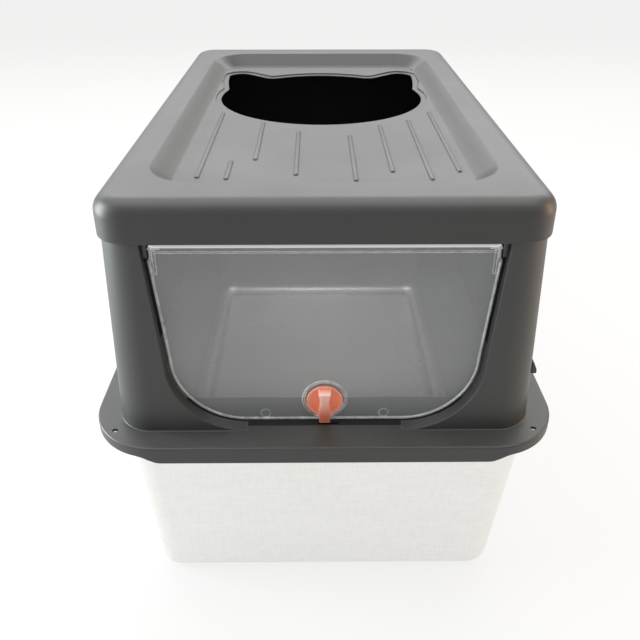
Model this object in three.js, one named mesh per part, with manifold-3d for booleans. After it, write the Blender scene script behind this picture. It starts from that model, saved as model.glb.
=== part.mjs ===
// Cat litter box with a hood: a drawn steel pan, a moulded hood that rests on the pan's rim by a wide
// flange, a lift-off lid with a cat-head top entry, and a clear front flap with a turning lock knob.
// Units are millimetres. +X is to the right, +Y to the back, +Z up; the front flap faces -Y.
// The origin is on the floor under the middle of the pan.
import * as THREE from 'three';
import * as BufferGeometryUtils from 'three/addons/utils/BufferGeometryUtils.js';
import Module from 'manifold-3d';

const wasm = await Module();
wasm.setup();

// ---------------------------------------------------------------- driving dimensions
const GAP = 0.3; // clear space between pieces that touch

// lid
const LID_WIDTH = 360;
const LID_LENGTH = 586;
const LID_TOP_Z = 410; // overall height
const LID_SKIRT_H = 34; // height of the lid's side, rounding included
const LID_CORNER_R = 28;
const LID_EDGE_R = 14; // rounding between the lid's top and its side
const LID_WALL = 3;
const LID_OVERHANG = 1.5; // lid beyond the hood's wall, each side

// dish in the lid's top
const DISH_RIM = 32.5; // flat rim from the lid's side to the dish's edge, each side
const DISH_RIM_END = 41; // the same at the front and the back
const DISH_DEPTH = 14;
const DISH_SLOPE = 19; // run of the dish's sloping side
const DISH_CORNER_R = 46;

// cat-head entry through the dish
const HEAD_HALF_W = 120.5; // half width across the cheeks
const HEAD_BACK_IN = 49; // crown in from the foot of the dish's back slope
const HEAD_CHIN_DROP = 118.5; // cheeks to chin
const HEAD_CROWN_RISE = 110; // cheeks to crown
const EAR_R = 16.5;
const EAR_X = 106.5;
const EAR_RISE = 105.5; // cheeks to the ears' centres
const EAR_FROM = -0.35; // ear's arc, in radians about its middle
const EAR_TO = 2.27;
const NECK_RISE = 31; // cheeks end this far above the cheek line
const NECK_PINCH = 1.6;
const NECK_R = 4.5;
const DIP_X = 63.5; // lowest point between ear and crown
const DIP_R = 8;
const CROWN_R = 118;
const CROWN_TURN = 0.485;
const LEDGE_WIDTH = 6.2; // step round the entry
const LEDGE_DEPTH = 1.8;

// grip ribs on the dish's floor: across from the middle, start behind the dish's front foot, length
const RIB_WIDTH = 4.6;
const RIB_HEIGHT = 1.3;
const RIBS = [
  { x: -109.4, start: 27, length: 201 },
  { x: -83.9, start: 23, length: 47 },
  { x: -62.5, start: 72, length: 118 },
  { x: -24.4, start: 33, length: 125 },
  { x: 27.3, start: 19, length: 126 },
  { x: 60.5, start: 40, length: 140 },
  { x: 92.5, start: 21, length: 177 },
  { x: 119.2, start: 40, length: 190 },
];

// hood
const HOOD_WALL = 3;
const HOOD_DRAFT = 5; // how much wider each side is at the foot than at the shoulder
const HOOD_CORNER_R = 32;
const FLANGE_Z = 196; // top of the flange
const FLANGE_SIDE = 22.2; // flange beyond the wall's foot at the sides
const FLANGE_END = 22.5; // flange beyond the wall's foot at the front and the back
const FLANGE_CORNER_R = 60;
const FLANGE_EDGE_H = 10; // depth of the flange's turned-down edge
const FLANGE_EDGE_R = 2;
const FRONT_SKIRT_H = 16.7; // depth of the edge along the front
const FRONT_SKIRT_HALF_W = 151; // half width of the deep part
const FRONT_SKIRT_RAMP = 10;
const NECK_H = 16; // wall that stands up inside the lid
const LIP_H = 15; // lip that hangs inside the pan
const LIP_INSET = 2.4; // lip in from the wall's foot
const DRAIN_W = 5; // small drain holes in the flange's corners
const DRAIN_D = 3.8;
const DRAIN_IN = 22.5; // in from the flange's sides
const DRAIN_IN_END = 24; // in from the flange's ends

// doorway and flap
const DOOR_TOP_HALF_W = 142.8; // doorway's half width at its top
const DOOR_LOW_HALF_W = 134; // and where its bottom corners start
const DOOR_CORNER_R = 66;
const DOOR_HEAD_GAP = 0.8; // lintel below the hood's shoulder
const DOOR_PLANE_IN = 8.4; // flap's middle plane behind the hood's front wall, at the shoulder
const JAMB_DEPTH = 7; // jamb from the wall at the shoulder to its back edge
const SILL_DEPTH = 40.5; // flat sill inside the doorway, from the wall at the shoulder
const SILL_OVERLAP = 2; // sill's ends inside the flange
const FLAP_T = 2.4;
const FLAP_CLEAR = 2.5; // flap to doorway, all round
const FLAP_SHOULDER_IN = 3; // top corners cut in for the hinge blocks
const FLAP_SHOULDER_H = 13;
const BEAD_SIZE = 7; // square bead along the flap's top
const HINGE_DROP = 7; // hinge axis below the doorway's head
const HINGE_PIN_R = 1.5;
const HINGE_PIN_L = 13;
const HINGE_PIN_INSET = 0.1;
const HINGE_BLOCK_H = 14;
const HINGE_BLOCK_W = 3.1;
const HINGE_BLOCK_CLEAR = 1; // block beside the flap's top
const HINGE_BLOCK_D = 8;
const FLAP_RIB_H = 24;
const FLAP_RIB_W = 1.8;

// lock knob
const KNOB_Z = 25; // axis above the flange
const KNOB_R = 15.8;
const KNOB_T = 2.2;
const KNOB_EDGE = 0.5;
const KNOB_STAND = 2; // disc's back in front of the flap
const GRIP_TOP = 15; // grip above the axis
const GRIP_CREST = 12; // grip's front leans back below here
const GRIP_LEAN = 0.22;
const GRIP_HEIGHT = 7.5;
const GRIP_END_W = 10.7;
const GRIP_WAIST_W = 7.8;
const TAIL_T = 1.9;
const TAIL_CLEAR = 1; // tail above the flange
const SHAFT_R = 4;
const SHAFT_CLEAR = 0.3;
const COLLAR_R = 19.4;
const COLLAR_W = 2;
const COLLAR_H = 1.2;
const WASHER_R = 9;
const WASHER_T = 1.6;
const SCREW_R = 1.4;
const SCREW_HEAD_R = 3;
const SCREW_HEAD_H = 1.8;
const SCREW_L = 8;
const KEEPER_W = 18.2; // keeper slot in the sill
const KEEPER_D = 2.2;
const KEEPER_X = 3.3;

// scoop hook on the right wall
const HOOK_IN = 31.5; // behind the front wall's foot
const HOOK_RISE = 45; // above the flange
const HOOK_H = 12;
const HOOK_W = 7;
const HOOK_OUT = 5;
const HOOK_PEG_R = 1.6;
const HOOK_PEG_L = 5;

// pan
const PAN_T = 0.8;
const PAN_TOP_IN = 19.8; // pan's wall inside the flange's edge
const PAN_TAPER = 18.1; // how much narrower each side is at the floor
const PAN_CORNER_R = 34;
const PAN_FILLET_R = 13.2;
const RIM_OUT = 5.5; // rolled rim beyond the wall
const RIM_DROP = 7.2;

// ---------------------------------------------------------------- dimensions that follow
const lidHalfX = LID_WIDTH / 2;
const lidHalfY = LID_LENGTH / 2;
const shoulderZ = LID_TOP_Z - LID_SKIRT_H - GAP;
const wallTopX = lidHalfX - LID_OVERHANG;
const wallTopY = lidHalfY - LID_OVERHANG;
const wallFootX = wallTopX + HOOD_DRAFT;
const wallFootY = wallTopY + HOOD_DRAFT;
const flangeX = wallFootX + FLANGE_SIDE;
const flangeY = wallFootY + FLANGE_END;
const flangeUnderZ = FLANGE_Z - HOOD_WALL;
const floorZ = LID_TOP_Z - DISH_DEPTH;
const dishFootY = lidHalfY - DISH_RIM_END - DISH_SLOPE;
const cheekY = dishFootY - HEAD_BACK_IN - HEAD_CROWN_RISE;
const doorHeadZ = shoulderZ - DOOR_HEAD_GAP;
const flapY = -wallTopY + DOOR_PLANE_IN;
const jambBackY = -wallTopY + JAMB_DEPTH;
const hingeZ = doorHeadZ - HINGE_DROP;
const knobZ = FLANGE_Z + KNOB_Z;
const panTopX = flangeX - PAN_TOP_IN;
const panTopY = flangeY - PAN_TOP_IN;
const rimTopZ = flangeUnderZ - GAP;

// ---------------------------------------------------------------- helpers

/** Points of a rectangle with round corners, anticlockwise, the same count at every radius. */
function roundedRect(halfX, halfY, radius, steps = 6) {
  const points = [];
  const corners = [[1, -1, -Math.PI / 2], [1, 1, 0], [-1, 1, Math.PI / 2], [-1, -1, Math.PI]];
  for (const [sx, sy, start] of corners) {
    for (let i = 0; i <= steps; i += 1) {
      const angle = start + (Math.PI / 2) * (i / steps);
      const x = sx * (halfX - radius) + radius * Math.cos(angle);
      const y = sy * (halfY - radius) + radius * Math.sin(angle);
      points.push(new THREE.Vector2(x, y));
    }
  }
  return points;
}

/** One station of a loft: a rounded rectangle at height z. */
function station(z, halfX, halfY, radius) {
  return roundedRect(halfX, halfY, Math.max(radius, 1)).map((p) => new THREE.Vector3(p.x, p.y, z));
}

/** Skin over stations. A ring joins its last station to its first; otherwise flat caps close it. */
function loft(stations, ring = false) {
  const count = stations[0].length;
  const position = stations.flat().flatMap((p) => [p.x, p.y, p.z]);
  const index = [];
  const spans = ring ? stations.length : stations.length - 1;
  for (let s = 0; s < spans; s += 1) {
    const low = s * count;
    const high = ((s + 1) % stations.length) * count;
    for (let i = 0; i < count; i += 1) {
      const j = (i + 1) % count;
      index.push(low + i, low + j, high + j, low + i, high + j, high + i);
    }
  }
  if (!ring) {
    const cap = (s, flip) => {
      const flat = stations[s].map((p) => new THREE.Vector2(p.x, p.y));
      for (const [a, b, c] of THREE.ShapeUtils.triangulateShape(flat, [])) {
        const face = [a, b, c].map((k) => k + s * count);
        index.push(...(flip ? face.reverse() : face));
      }
    };
    cap(0, true);
    cap(stations.length - 1, false);
  }
  const geometry = new THREE.BufferGeometry();
  geometry.setAttribute('position', new THREE.Float32BufferAttribute(position, 3));
  geometry.setIndex(index);
  return geometry;
}

/** A closed geometry as a solid that can be joined and cut. */
function solid(geometry) {
  const bare = geometry.clone();
  bare.deleteAttribute('normal');
  bare.deleteAttribute('uv');
  const merged = BufferGeometryUtils.mergeVertices(bare, 1e-4);
  const vertProperties = new Float32Array(merged.attributes.position.array);
  const triVerts = new Uint32Array(merged.index.array);
  return new wasm.Manifold(new wasm.Mesh({ numProp: 3, vertProperties, triVerts }));
}

/** A solid back as a geometry. */
function toGeometry(body) {
  const { vertProperties, triVerts } = body.getMesh();
  const geometry = new THREE.BufferGeometry();
  geometry.setAttribute('position', new THREE.Float32BufferAttribute(vertProperties, 3));
  geometry.setIndex(new THREE.Uint32BufferAttribute(triVerts, 1));
  geometry.computeVertexNormals();
  return geometry;
}

/** An outline in the X-Z plane, extruded along +Y from y. */
function extrudeFront(outline, y, depth) {
  const shape = new THREE.Shape(outline);
  const geometry = new THREE.ExtrudeGeometry(shape, { depth, bevelEnabled: false });
  geometry.rotateX(Math.PI / 2);
  geometry.translate(0, y + depth, 0);
  return solid(geometry);
}

/** An outline in the X-Y plane, extruded upwards from z. */
function extrudeUp(outline, z, height) {
  const shape = new THREE.Shape(outline);
  const geometry = new THREE.ExtrudeGeometry(shape, { depth: height, bevelEnabled: false });
  geometry.translate(0, 0, z);
  return solid(geometry);
}

/** A box between two corners. */
function block(low, high) {
  const size = high.map((value, axis) => value - low[axis]);
  const geometry = new THREE.BoxGeometry(...size);
  geometry.translate(...low.map((value, axis) => value + size[axis] / 2));
  return solid(geometry);
}

/** A round bar along one axis, centred at (x, y, z). */
function rod(axis, radius, length, x, y, z, sides = 24) {
  const geometry = new THREE.CylinderGeometry(radius, radius, length, sides);
  if (axis === 'x') geometry.rotateZ(Math.PI / 2);
  if (axis === 'z') geometry.rotateX(Math.PI / 2);
  geometry.translate(x, y, z);
  return solid(geometry);
}

/** A closed outline moved outwards by a distance along its normals. */
function offsetOutline(points, distance) {
  return points.map((point, i) => {
    const before = points[(i + points.length - 1) % points.length];
    const after = points[(i + 1) % points.length];
    const along = after.clone().sub(before).normalize();
    return new THREE.Vector2(point.x + along.y * distance, point.y - along.x * distance);
  });
}

/** The right half of an outline joined to its mirror image, starting on the middle line. */
function mirrored(half) {
  const left = half.slice(1, -1).reverse().map((p) => new THREE.Vector2(-p.x, p.y));
  return [...half, ...left];
}

const group = new THREE.Group();

/** Adds one named piece to the model. */
function piece(name, body, colour, roughness, metalness) {
  const material = new THREE.MeshStandardMaterial({ color: colour, roughness, metalness });
  const mesh = new THREE.Mesh(toGeometry(body), material);
  mesh.name = name;
  group.add(mesh);
  return mesh;
}

const GREY = [0x58595a, 0.55, 0];
const CORAL = [0xdb7a5c, 0.42, 0];
const CLEAR = [0xa8adad, 0.3, 0];
const STEEL = [0xc9cacb, 0.32, 1];

// ---------------------------------------------------------------- pan

/** Stations of the pan's skin, moved in by a distance, from its floor to its wall's top. */
function panSkin(inset, topZ) {
  const radius = PAN_FILLET_R - inset;
  const stations = [];
  const taperAt = (z) => PAN_TAPER * (1 - z / topZ);
  for (let i = 0; i <= 4; i += 1) {
    const angle = (Math.PI / 2) * (i / 4);
    const z = inset + radius * (1 - Math.cos(angle));
    const pull = inset + radius * (1 - Math.sin(angle)) + taperAt(z);
    stations.push(station(z, panTopX - pull, panTopY - pull, PAN_CORNER_R - pull * 0.6));
  }
  stations.push(station(topZ, panTopX - inset, panTopY - inset, PAN_CORNER_R - inset));
  return stations;
}

/** Stations of the rolled rim, out, down and back over to the inside. */
function rimSkin(foldZ) {
  const at = (out, z) => station(z, panTopX + out, panTopY + out, PAN_CORNER_R + out);
  return [
    at(RIM_OUT - PAN_T, foldZ),
    at(RIM_OUT - PAN_T, rimTopZ - RIM_DROP),
    at(RIM_OUT, rimTopZ - RIM_DROP),
    at(RIM_OUT, rimTopZ - PAN_T * 1.5),
    at(RIM_OUT - PAN_T * 1.5, rimTopZ),
    at(PAN_T, rimTopZ),
  ];
}

const foldZ = rimTopZ - 2 * PAN_T;
const panOutside = panSkin(0, foldZ);
const panInside = panSkin(PAN_T, rimTopZ - PAN_T).reverse();
piece('litter_pan', solid(loft([...panOutside, ...rimSkin(foldZ), ...panInside])), ...STEEL);

// ---------------------------------------------------------------- doorway outline

/** The doorway's outline in X-Z, grown by a distance; its top stands at topZ. */
function doorOutline(grow, topZ, steps = 10) {
  const centreX = DOOR_LOW_HALF_W - DOOR_CORNER_R;
  const centreZ = FLANGE_Z + DOOR_CORNER_R;
  const radius = DOOR_CORNER_R + grow;
  const half = [new THREE.Vector2(0, FLANGE_Z - grow)];
  for (let i = 0; i <= steps; i += 1) {
    const angle = -Math.PI / 2 + (Math.PI / 2) * (i / steps);
    half.push(new THREE.Vector2(centreX + radius * Math.cos(angle), centreZ + radius * Math.sin(angle)));
  }
  half.push(new THREE.Vector2(DOOR_TOP_HALF_W + grow, topZ));
  half.push(new THREE.Vector2(0, topZ));
  return mirrored(half);
}

// ---------------------------------------------------------------- hood

/** A station of the hood's wall at height z, moved in by a distance. */
function wallStation(z, inset) {
  const flare = HOOD_DRAFT * Math.min(1, (shoulderZ - z) / (shoulderZ - FLANGE_Z));
  return station(z, wallTopX + flare - inset, wallTopY + flare - inset, HOOD_CORNER_R - inset);
}

/** A station of the flange at height z, moved in from its edge by a distance. */
function flangeStation(z, inset) {
  return station(z, flangeX - inset, flangeY - inset, FLANGE_CORNER_R - inset);
}

/** Lower edge of the front skirt in X-Z: flat, with a soft ramp up at each end. */
function frontSkirtOutline() {
  const low = FLANGE_Z - FRONT_SKIRT_H;
  const high = FLANGE_Z - FLANGE_EDGE_H + 1;
  const half = [new THREE.Vector2(0, low)];
  for (let i = 0; i <= 6; i += 1) {
    const t = i / 6;
    const x = FRONT_SKIRT_HALF_W - FRONT_SKIRT_RAMP + 2 * FRONT_SKIRT_RAMP * t;
    half.push(new THREE.Vector2(x, low + (high - low) * (1 - Math.cos(Math.PI * t)) / 2));
  }
  half.push(new THREE.Vector2(0, high));
  return mirrored(half);
}

const lipInset = HOOD_WALL + LIP_INSET;
const neckInset = LID_WALL - LID_OVERHANG + 2 * GAP;
const edgeLowZ = FLANGE_Z - FLANGE_EDGE_H;
const edgeArc = [0, 0.5, 1].map((t) => {
  const angle = (Math.PI / 2) * t;
  return flangeStation(
    FLANGE_Z - FLANGE_EDGE_R * (1 - Math.sin(angle)),
    FLANGE_EDGE_R * (1 - Math.cos(angle)),
  );
});
const hoodShell = solid(loft([
  wallStation(flangeUnderZ - LIP_H, lipInset),
  wallStation(flangeUnderZ - LIP_H, LIP_INSET),
  wallStation(flangeUnderZ, LIP_INSET),
  flangeStation(flangeUnderZ, HOOD_WALL),
  flangeStation(edgeLowZ, HOOD_WALL),
  flangeStation(edgeLowZ, 0),
  ...edgeArc,
  wallStation(FLANGE_Z, -1.8),
  wallStation(FLANGE_Z + 1.8, 0),
  wallStation(shoulderZ, 0),
  wallStation(shoulderZ, neckInset),
  wallStation(shoulderZ + NECK_H, neckInset),
  wallStation(shoulderZ + NECK_H, neckInset + HOOD_WALL),
  wallStation(shoulderZ, neckInset + HOOD_WALL),
  wallStation(FLANGE_Z, HOOD_WALL),
], true));

const hoodOutside = solid(loft([
  wallStation(flangeUnderZ, 0),
  wallStation(shoulderZ, 0),
  wallStation(shoulderZ, neckInset),
  wallStation(shoulderZ + HOOD_WALL, neckInset),
]));
const frontY = -flangeY - 1;
const jamb = extrudeFront(doorOutline(HOOD_WALL, doorHeadZ + HOOD_WALL), frontY, jambBackY - frontY)
  .intersect(hoodOutside);
const doorway = extrudeFront(doorOutline(0, doorHeadZ), frontY, jambBackY - frontY + 1);

const drainX = flangeX - DRAIN_IN;
const drainY = flangeY - DRAIN_IN_END;
const keeperY = flapY - FLAP_T / 2 - KNOB_STAND;
const hookY = -wallFootY + HOOK_IN;
const hookZ = FLANGE_Z + HOOK_RISE;
const hookWallX = wallTopX + HOOD_DRAFT * (shoulderZ - hookZ) / (shoulderZ - FLANGE_Z);

let hood = hoodShell.add(extrudeFront(frontSkirtOutline(), -flangeY, HOOD_WALL));
hood = hood.add(jamb).subtract(doorway);
hood = hood.add(block(
  [-wallFootX + SILL_OVERLAP, -wallFootY + SILL_OVERLAP, flangeUnderZ],
  [wallFootX - SILL_OVERLAP, -wallTopY + SILL_DEPTH, FLANGE_Z],
));
for (const sx of [-1, 1]) {
  for (const sy of [-1, 1]) {
    const hole = extrudeUp(roundedRect(DRAIN_W / 2, DRAIN_D / 2, DRAIN_D / 2.2, 3), 0, FLANGE_Z + 1);
    hood = hood.subtract(hole.translate([sx * drainX, sy * drainY, 0]));
  }
}
hood = hood.subtract(block(
  [KEEPER_X - KEEPER_W / 2, keeperY - KEEPER_D, flangeUnderZ - 1],
  [KEEPER_X + KEEPER_W / 2, keeperY, FLANGE_Z + 1],
));
hood = hood.subtract(rod('x', HOOK_PEG_R + GAP, 4 * HOOD_WALL, hookWallX, hookY, hookZ, 16));
piece('hood_body', hood, ...GREY);

// ---------------------------------------------------------------- lid

/** A station of the lid's side at height z, moved in by a distance. */
function lidStation(z, inset) {
  return station(z, lidHalfX - inset, lidHalfY - inset, LID_CORNER_R - inset);
}

/** The lid's outer form, or its hollow, when thinned by a wall: straight side and round edge. */
function lidForm(wall, lowZ) {
  const stations = [lidStation(lowZ, wall)];
  const radius = LID_EDGE_R - wall;
  for (let i = 0; i <= 5; i += 1) {
    const angle = (Math.PI / 2) * (i / 5);
    const z = LID_TOP_Z - LID_EDGE_R + radius * Math.sin(angle);
    stations.push(lidStation(z, wall + radius * (1 - Math.cos(angle))));
  }
  return solid(loft(stations));
}

/** The dish's form, grown by a wall: a soft-edged tray let into the lid's top. */
function dishForm(wall) {
  const profile = [[0, 0], [1.4, 0.08], [DISH_SLOPE - 2.6, 0.9], [DISH_SLOPE, 1]];
  const at = (run, z) => {
    const inset = DISH_SLOPE - run - wall;
    const halfX = lidHalfX - DISH_RIM - inset;
    const halfY = lidHalfY - DISH_RIM_END - inset;
    return station(z, halfX, halfY, DISH_CORNER_R - inset);
  };
  const stations = profile.map(([run, rise]) => at(run, floorZ - wall + rise * DISH_DEPTH));
  stations.push(at(DISH_SLOPE, LID_TOP_Z + 1));
  return solid(loft(stations));
}

/** The cat-head outline: chin, cheek, ear and crown as arcs, mirrored about the middle line. */
function catHead() {
  const path = new THREE.Path();
  const earY = cheekY + EAR_RISE;
  const crownY = cheekY + HEAD_CROWN_RISE;
  const neckTurn = Math.asin(NECK_RISE / HEAD_CHIN_DROP);
  const neckX = HEAD_HALF_W * Math.cos(neckTurn);
  const neckY = cheekY + NECK_RISE;
  path.absellipse(0, cheekY, HEAD_HALF_W, HEAD_CHIN_DROP, -Math.PI / 2, neckTurn, false, 0);
  path.quadraticCurveTo(neckX - NECK_PINCH, neckY + NECK_R, neckX, neckY + 2 * NECK_R);
  const earStart = new THREE.Vector2(EAR_X + EAR_R * Math.cos(EAR_FROM), earY + EAR_R * Math.sin(EAR_FROM));
  path.quadraticCurveTo(EAR_X + EAR_R, earY - EAR_R, earStart.x, earStart.y);
  path.absarc(EAR_X, earY, EAR_R, EAR_FROM, EAR_TO, false);
  const crownX = CROWN_R * Math.sin(CROWN_TURN);
  const crownEdgeY = crownY - CROWN_R * (1 - Math.cos(CROWN_TURN));
  path.lineTo(DIP_X + DIP_R, crownEdgeY);
  path.quadraticCurveTo(DIP_X, crownEdgeY - DIP_R / 2, crownX, crownEdgeY);
  path.absarc(0, crownY - CROWN_R, CROWN_R, Math.PI / 2 - CROWN_TURN, Math.PI / 2, false);
  const half = path.getPoints(9);
  const clean = half.filter((p, i) => i === 0 || p.distanceTo(half[i - 1]) > 0.2);
  clean[0].x = 0;
  clean[clean.length - 1].x = 0;
  return mirrored(clean);
}

const head = catHead();
let lid = lidForm(0, LID_TOP_Z - LID_SKIRT_H);
lid = lid.subtract(lidForm(LID_WALL, LID_TOP_Z - LID_SKIRT_H - 1).subtract(dishForm(LID_WALL)));
lid = lid.subtract(dishForm(0));
for (const rib of RIBS) {
  const outline = roundedRect(RIB_WIDTH / 2, rib.length / 2, RIB_WIDTH / 2.1, 3);
  const middleY = -dishFootY + rib.start + rib.length / 2;
  lid = lid.add(extrudeUp(outline, floorZ - 1, RIB_HEIGHT + 1).translate([rib.x, middleY, 0]));
}
lid = lid.subtract(extrudeUp(offsetOutline(head, LEDGE_WIDTH), floorZ - LEDGE_DEPTH, DISH_DEPTH));
lid = lid.subtract(extrudeUp(head, floorZ - LID_WALL - 1, DISH_DEPTH + LID_WALL));
piece('top_lid', lid, ...GREY);

// ---------------------------------------------------------------- flap

const flapFrontY = flapY - FLAP_T / 2;
const flapTopZ = hingeZ + BEAD_SIZE / 2;
const flapTopHalfW = DOOR_TOP_HALF_W - FLAP_CLEAR - FLAP_SHOULDER_IN;
const beadHalf = BEAD_SIZE / 2;

let flap = extrudeFront(doorOutline(-FLAP_CLEAR, flapTopZ), flapFrontY, FLAP_T);
for (const side of [-1, 1]) {
  const inner = side * flapTopHalfW;
  const outer = side * (DOOR_TOP_HALF_W + 1);
  const low = [Math.min(inner, outer), flapFrontY - 1, flapTopZ - FLAP_SHOULDER_H];
  const high = [Math.max(inner, outer), flapFrontY + FLAP_T + 1, flapTopZ + 1];
  flap = flap.subtract(block(low, high));
}
flap = flap.add(block(
  [-flapTopHalfW, flapY - beadHalf, hingeZ - beadHalf],
  [flapTopHalfW, flapY + beadHalf, hingeZ + beadHalf],
));
const flapRibZ = hingeZ - FLAP_RIB_H;
for (const side of [-1, 1]) {
  const x = side * (flapTopHalfW - 3);
  flap = flap.add(block(
    [x - FLAP_RIB_W / 2, flapY, flapRibZ],
    [x + FLAP_RIB_W / 2, flapY + beadHalf, hingeZ],
  ));
  const boreL = HINGE_PIN_L - FLAP_SHOULDER_IN;
  const boreX = side * (flapTopHalfW - boreL / 2 + 0.5);
  flap = flap.subtract(rod('x', HINGE_PIN_R + GAP, boreL + 1, boreX, flapY, hingeZ, 16));
}
const collarFrontY = flapFrontY - COLLAR_H;
flap = flap.add(rod('y', COLLAR_R, COLLAR_H + 1, 0, collarFrontY + (COLLAR_H + 1) / 2, knobZ, 40));
flap = flap.subtract(rod('y', COLLAR_R - COLLAR_W, COLLAR_H * 2, 0, flapFrontY - COLLAR_H, knobZ, 40));
flap = flap.subtract(rod('y', SHAFT_R + SHAFT_CLEAR, FLAP_T * 4, 0, flapY, knobZ, 24));
piece('entry_flap', flap, ...CLEAR);

// ---------------------------------------------------------------- hinge blocks and pins

for (const [side, name] of [[-1, 'left'], [1, 'right']]) {
  const blockInner = flapTopHalfW + HINGE_BLOCK_CLEAR;
  const blockOuter = blockInner + HINGE_BLOCK_W;
  const xs = [side * blockInner, side * blockOuter].sort((a, b) => a - b);
  const low = [xs[0], flapY - HINGE_BLOCK_D / 2, hingeZ - HINGE_BLOCK_H / 2];
  const high = [xs[1], flapY + HINGE_BLOCK_D / 2, doorHeadZ - GAP];
  const bore = rod('x', HINGE_PIN_R + GAP, 4 * HOOD_WALL, side * blockInner, flapY, hingeZ, 16);
  piece(`hinge_block_${name}`, block(low, high).subtract(bore), ...GREY);
  const pinX = side * (blockOuter - HINGE_PIN_INSET - HINGE_PIN_L / 2);
  piece(`hinge_pin_${name}`, rod('x', HINGE_PIN_R, HINGE_PIN_L, pinX, flapY, hingeZ, 16), ...STEEL);
}

// ---------------------------------------------------------------- lock knob

const knobBackY = flapFrontY - KNOB_STAND;
const knobFrontY = knobBackY - KNOB_T;
const tailLow = FLANGE_Z + TAIL_CLEAR - knobZ;

/** The grip's outline about the axis: round top, waist at the axis, a wide foot and a tail. */
function gripOutline() {
  const end = GRIP_END_W / 2;
  const waist = GRIP_WAIST_W / 2;
  const path = new THREE.Path();
  path.moveTo(0, tailLow);
  path.lineTo(end * 0.86, tailLow);
  path.lineTo(end * 0.94, -KNOB_R * 0.95);
  path.bezierCurveTo(end, -KNOB_R * 0.6, waist, -KNOB_R * 0.35, waist, 0);
  path.bezierCurveTo(waist, GRIP_TOP * 0.4, end, GRIP_TOP * 0.45, end * 0.9, GRIP_TOP * 0.75);
  path.quadraticCurveTo(end * 0.72, GRIP_TOP, 0, GRIP_TOP);
  return mirrored(path.getPoints(5));
}

const discProfile = [
  [0, 0], [KNOB_R - KNOB_EDGE, 0], [KNOB_R, KNOB_EDGE], [KNOB_R, KNOB_T - KNOB_EDGE],
  [KNOB_R - KNOB_EDGE, KNOB_T], [0, KNOB_T],
].map(([r, h]) => new THREE.Vector2(r, h));
const disc = new THREE.LatheGeometry(discProfile, 40);
disc.rotateX(Math.PI);
disc.translate(0, knobBackY, knobZ);
const gripFrontY = knobFrontY - GRIP_HEIGHT;
let grip = extrudeFront(gripOutline(), gripFrontY, GRIP_HEIGHT + 1).translate([0, 0, knobZ]);
const tail = extrudeFront(gripOutline(), knobBackY - TAIL_T, TAIL_T).translate([0, 0, knobZ])
  .intersect(block([-KNOB_R, gripFrontY, knobZ + tailLow - 1], [KNOB_R, knobBackY, knobZ - KNOB_R / 2]));
const slope = new THREE.BoxGeometry(4 * KNOB_R, 2 * GRIP_HEIGHT, 3 * KNOB_R);
slope.translate(0, -GRIP_HEIGHT, -1.5 * KNOB_R);
slope.rotateX(GRIP_LEAN);
slope.translate(0, gripFrontY, knobZ + GRIP_CREST);
grip = grip.subtract(solid(slope));
const shaftL = KNOB_STAND + FLAP_T + GAP;
let knob = solid(disc).add(grip).add(tail);
knob = knob.add(rod('y', SHAFT_R, shaftL + 1, 0, knobBackY + (shaftL - 1) / 2, knobZ, 24));
const shaftEndY = knobBackY + shaftL;
knob = knob.subtract(rod('y', SCREW_R + GAP, 2 * SCREW_L, 0, shaftEndY + GAP, knobZ, 16));
piece('lock_knob', knob, ...CORAL);

const washerY = shaftEndY + GAP;
const washer = rod('y', WASHER_R, WASHER_T, 0, washerY + WASHER_T / 2, knobZ, 32)
  .subtract(rod('y', SCREW_R + GAP, 3 * WASHER_T, 0, washerY + WASHER_T / 2, knobZ, 16));
piece('knob_washer', washer, ...CORAL);
const headY = washerY + WASHER_T + GAP;
const screw = rod('y', SCREW_HEAD_R, SCREW_HEAD_H, 0, headY + SCREW_HEAD_H / 2, knobZ, 20)
  .add(rod('y', SCREW_R, SCREW_L - 1, 0, headY - (SCREW_L - 1) / 2 + 0.5, knobZ, 16));
piece('knob_screw', screw, ...STEEL);

// ---------------------------------------------------------------- scoop hook

/** The hook's side outline about its peg: a ramp down to a flat-bottomed nose. */
function hookOutline() {
  const top = HOOK_H / 2;
  return [[0, top], [0, -top], [HOOK_OUT, -top], [HOOK_OUT, -top + 4], [1.6, top]]
    .map(([x, z]) => new THREE.Vector2(x, z));
}
const hookX = hookWallX + HOOD_DRAFT * (HOOK_H / 2) / (shoulderZ - FLANGE_Z) + GAP;
const hook = extrudeFront(hookOutline(), -HOOK_W / 2, HOOK_W).translate([hookX, hookY, hookZ])
  .add(rod('x', HOOK_PEG_R, HOOK_PEG_L + 1, hookX - HOOK_PEG_L / 2 + 0.5, hookY, hookZ, 16));
piece('scoop_hook', hook, ...GREY);

export default group;
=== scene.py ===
# %% [markdown]
# # A hooded cat litter box
# A drawn steel pan stands on the floor. A dark moulded hood rests on the pan's rim by a wide
# flange, a lid with a cat-head hole lies on the hood, and a frosted flap with a coral lock
# knob hangs in the front doorway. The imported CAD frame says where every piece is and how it
# moves; this lesson gives each piece its finished surface.

# %% Load the frame
import math

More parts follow.
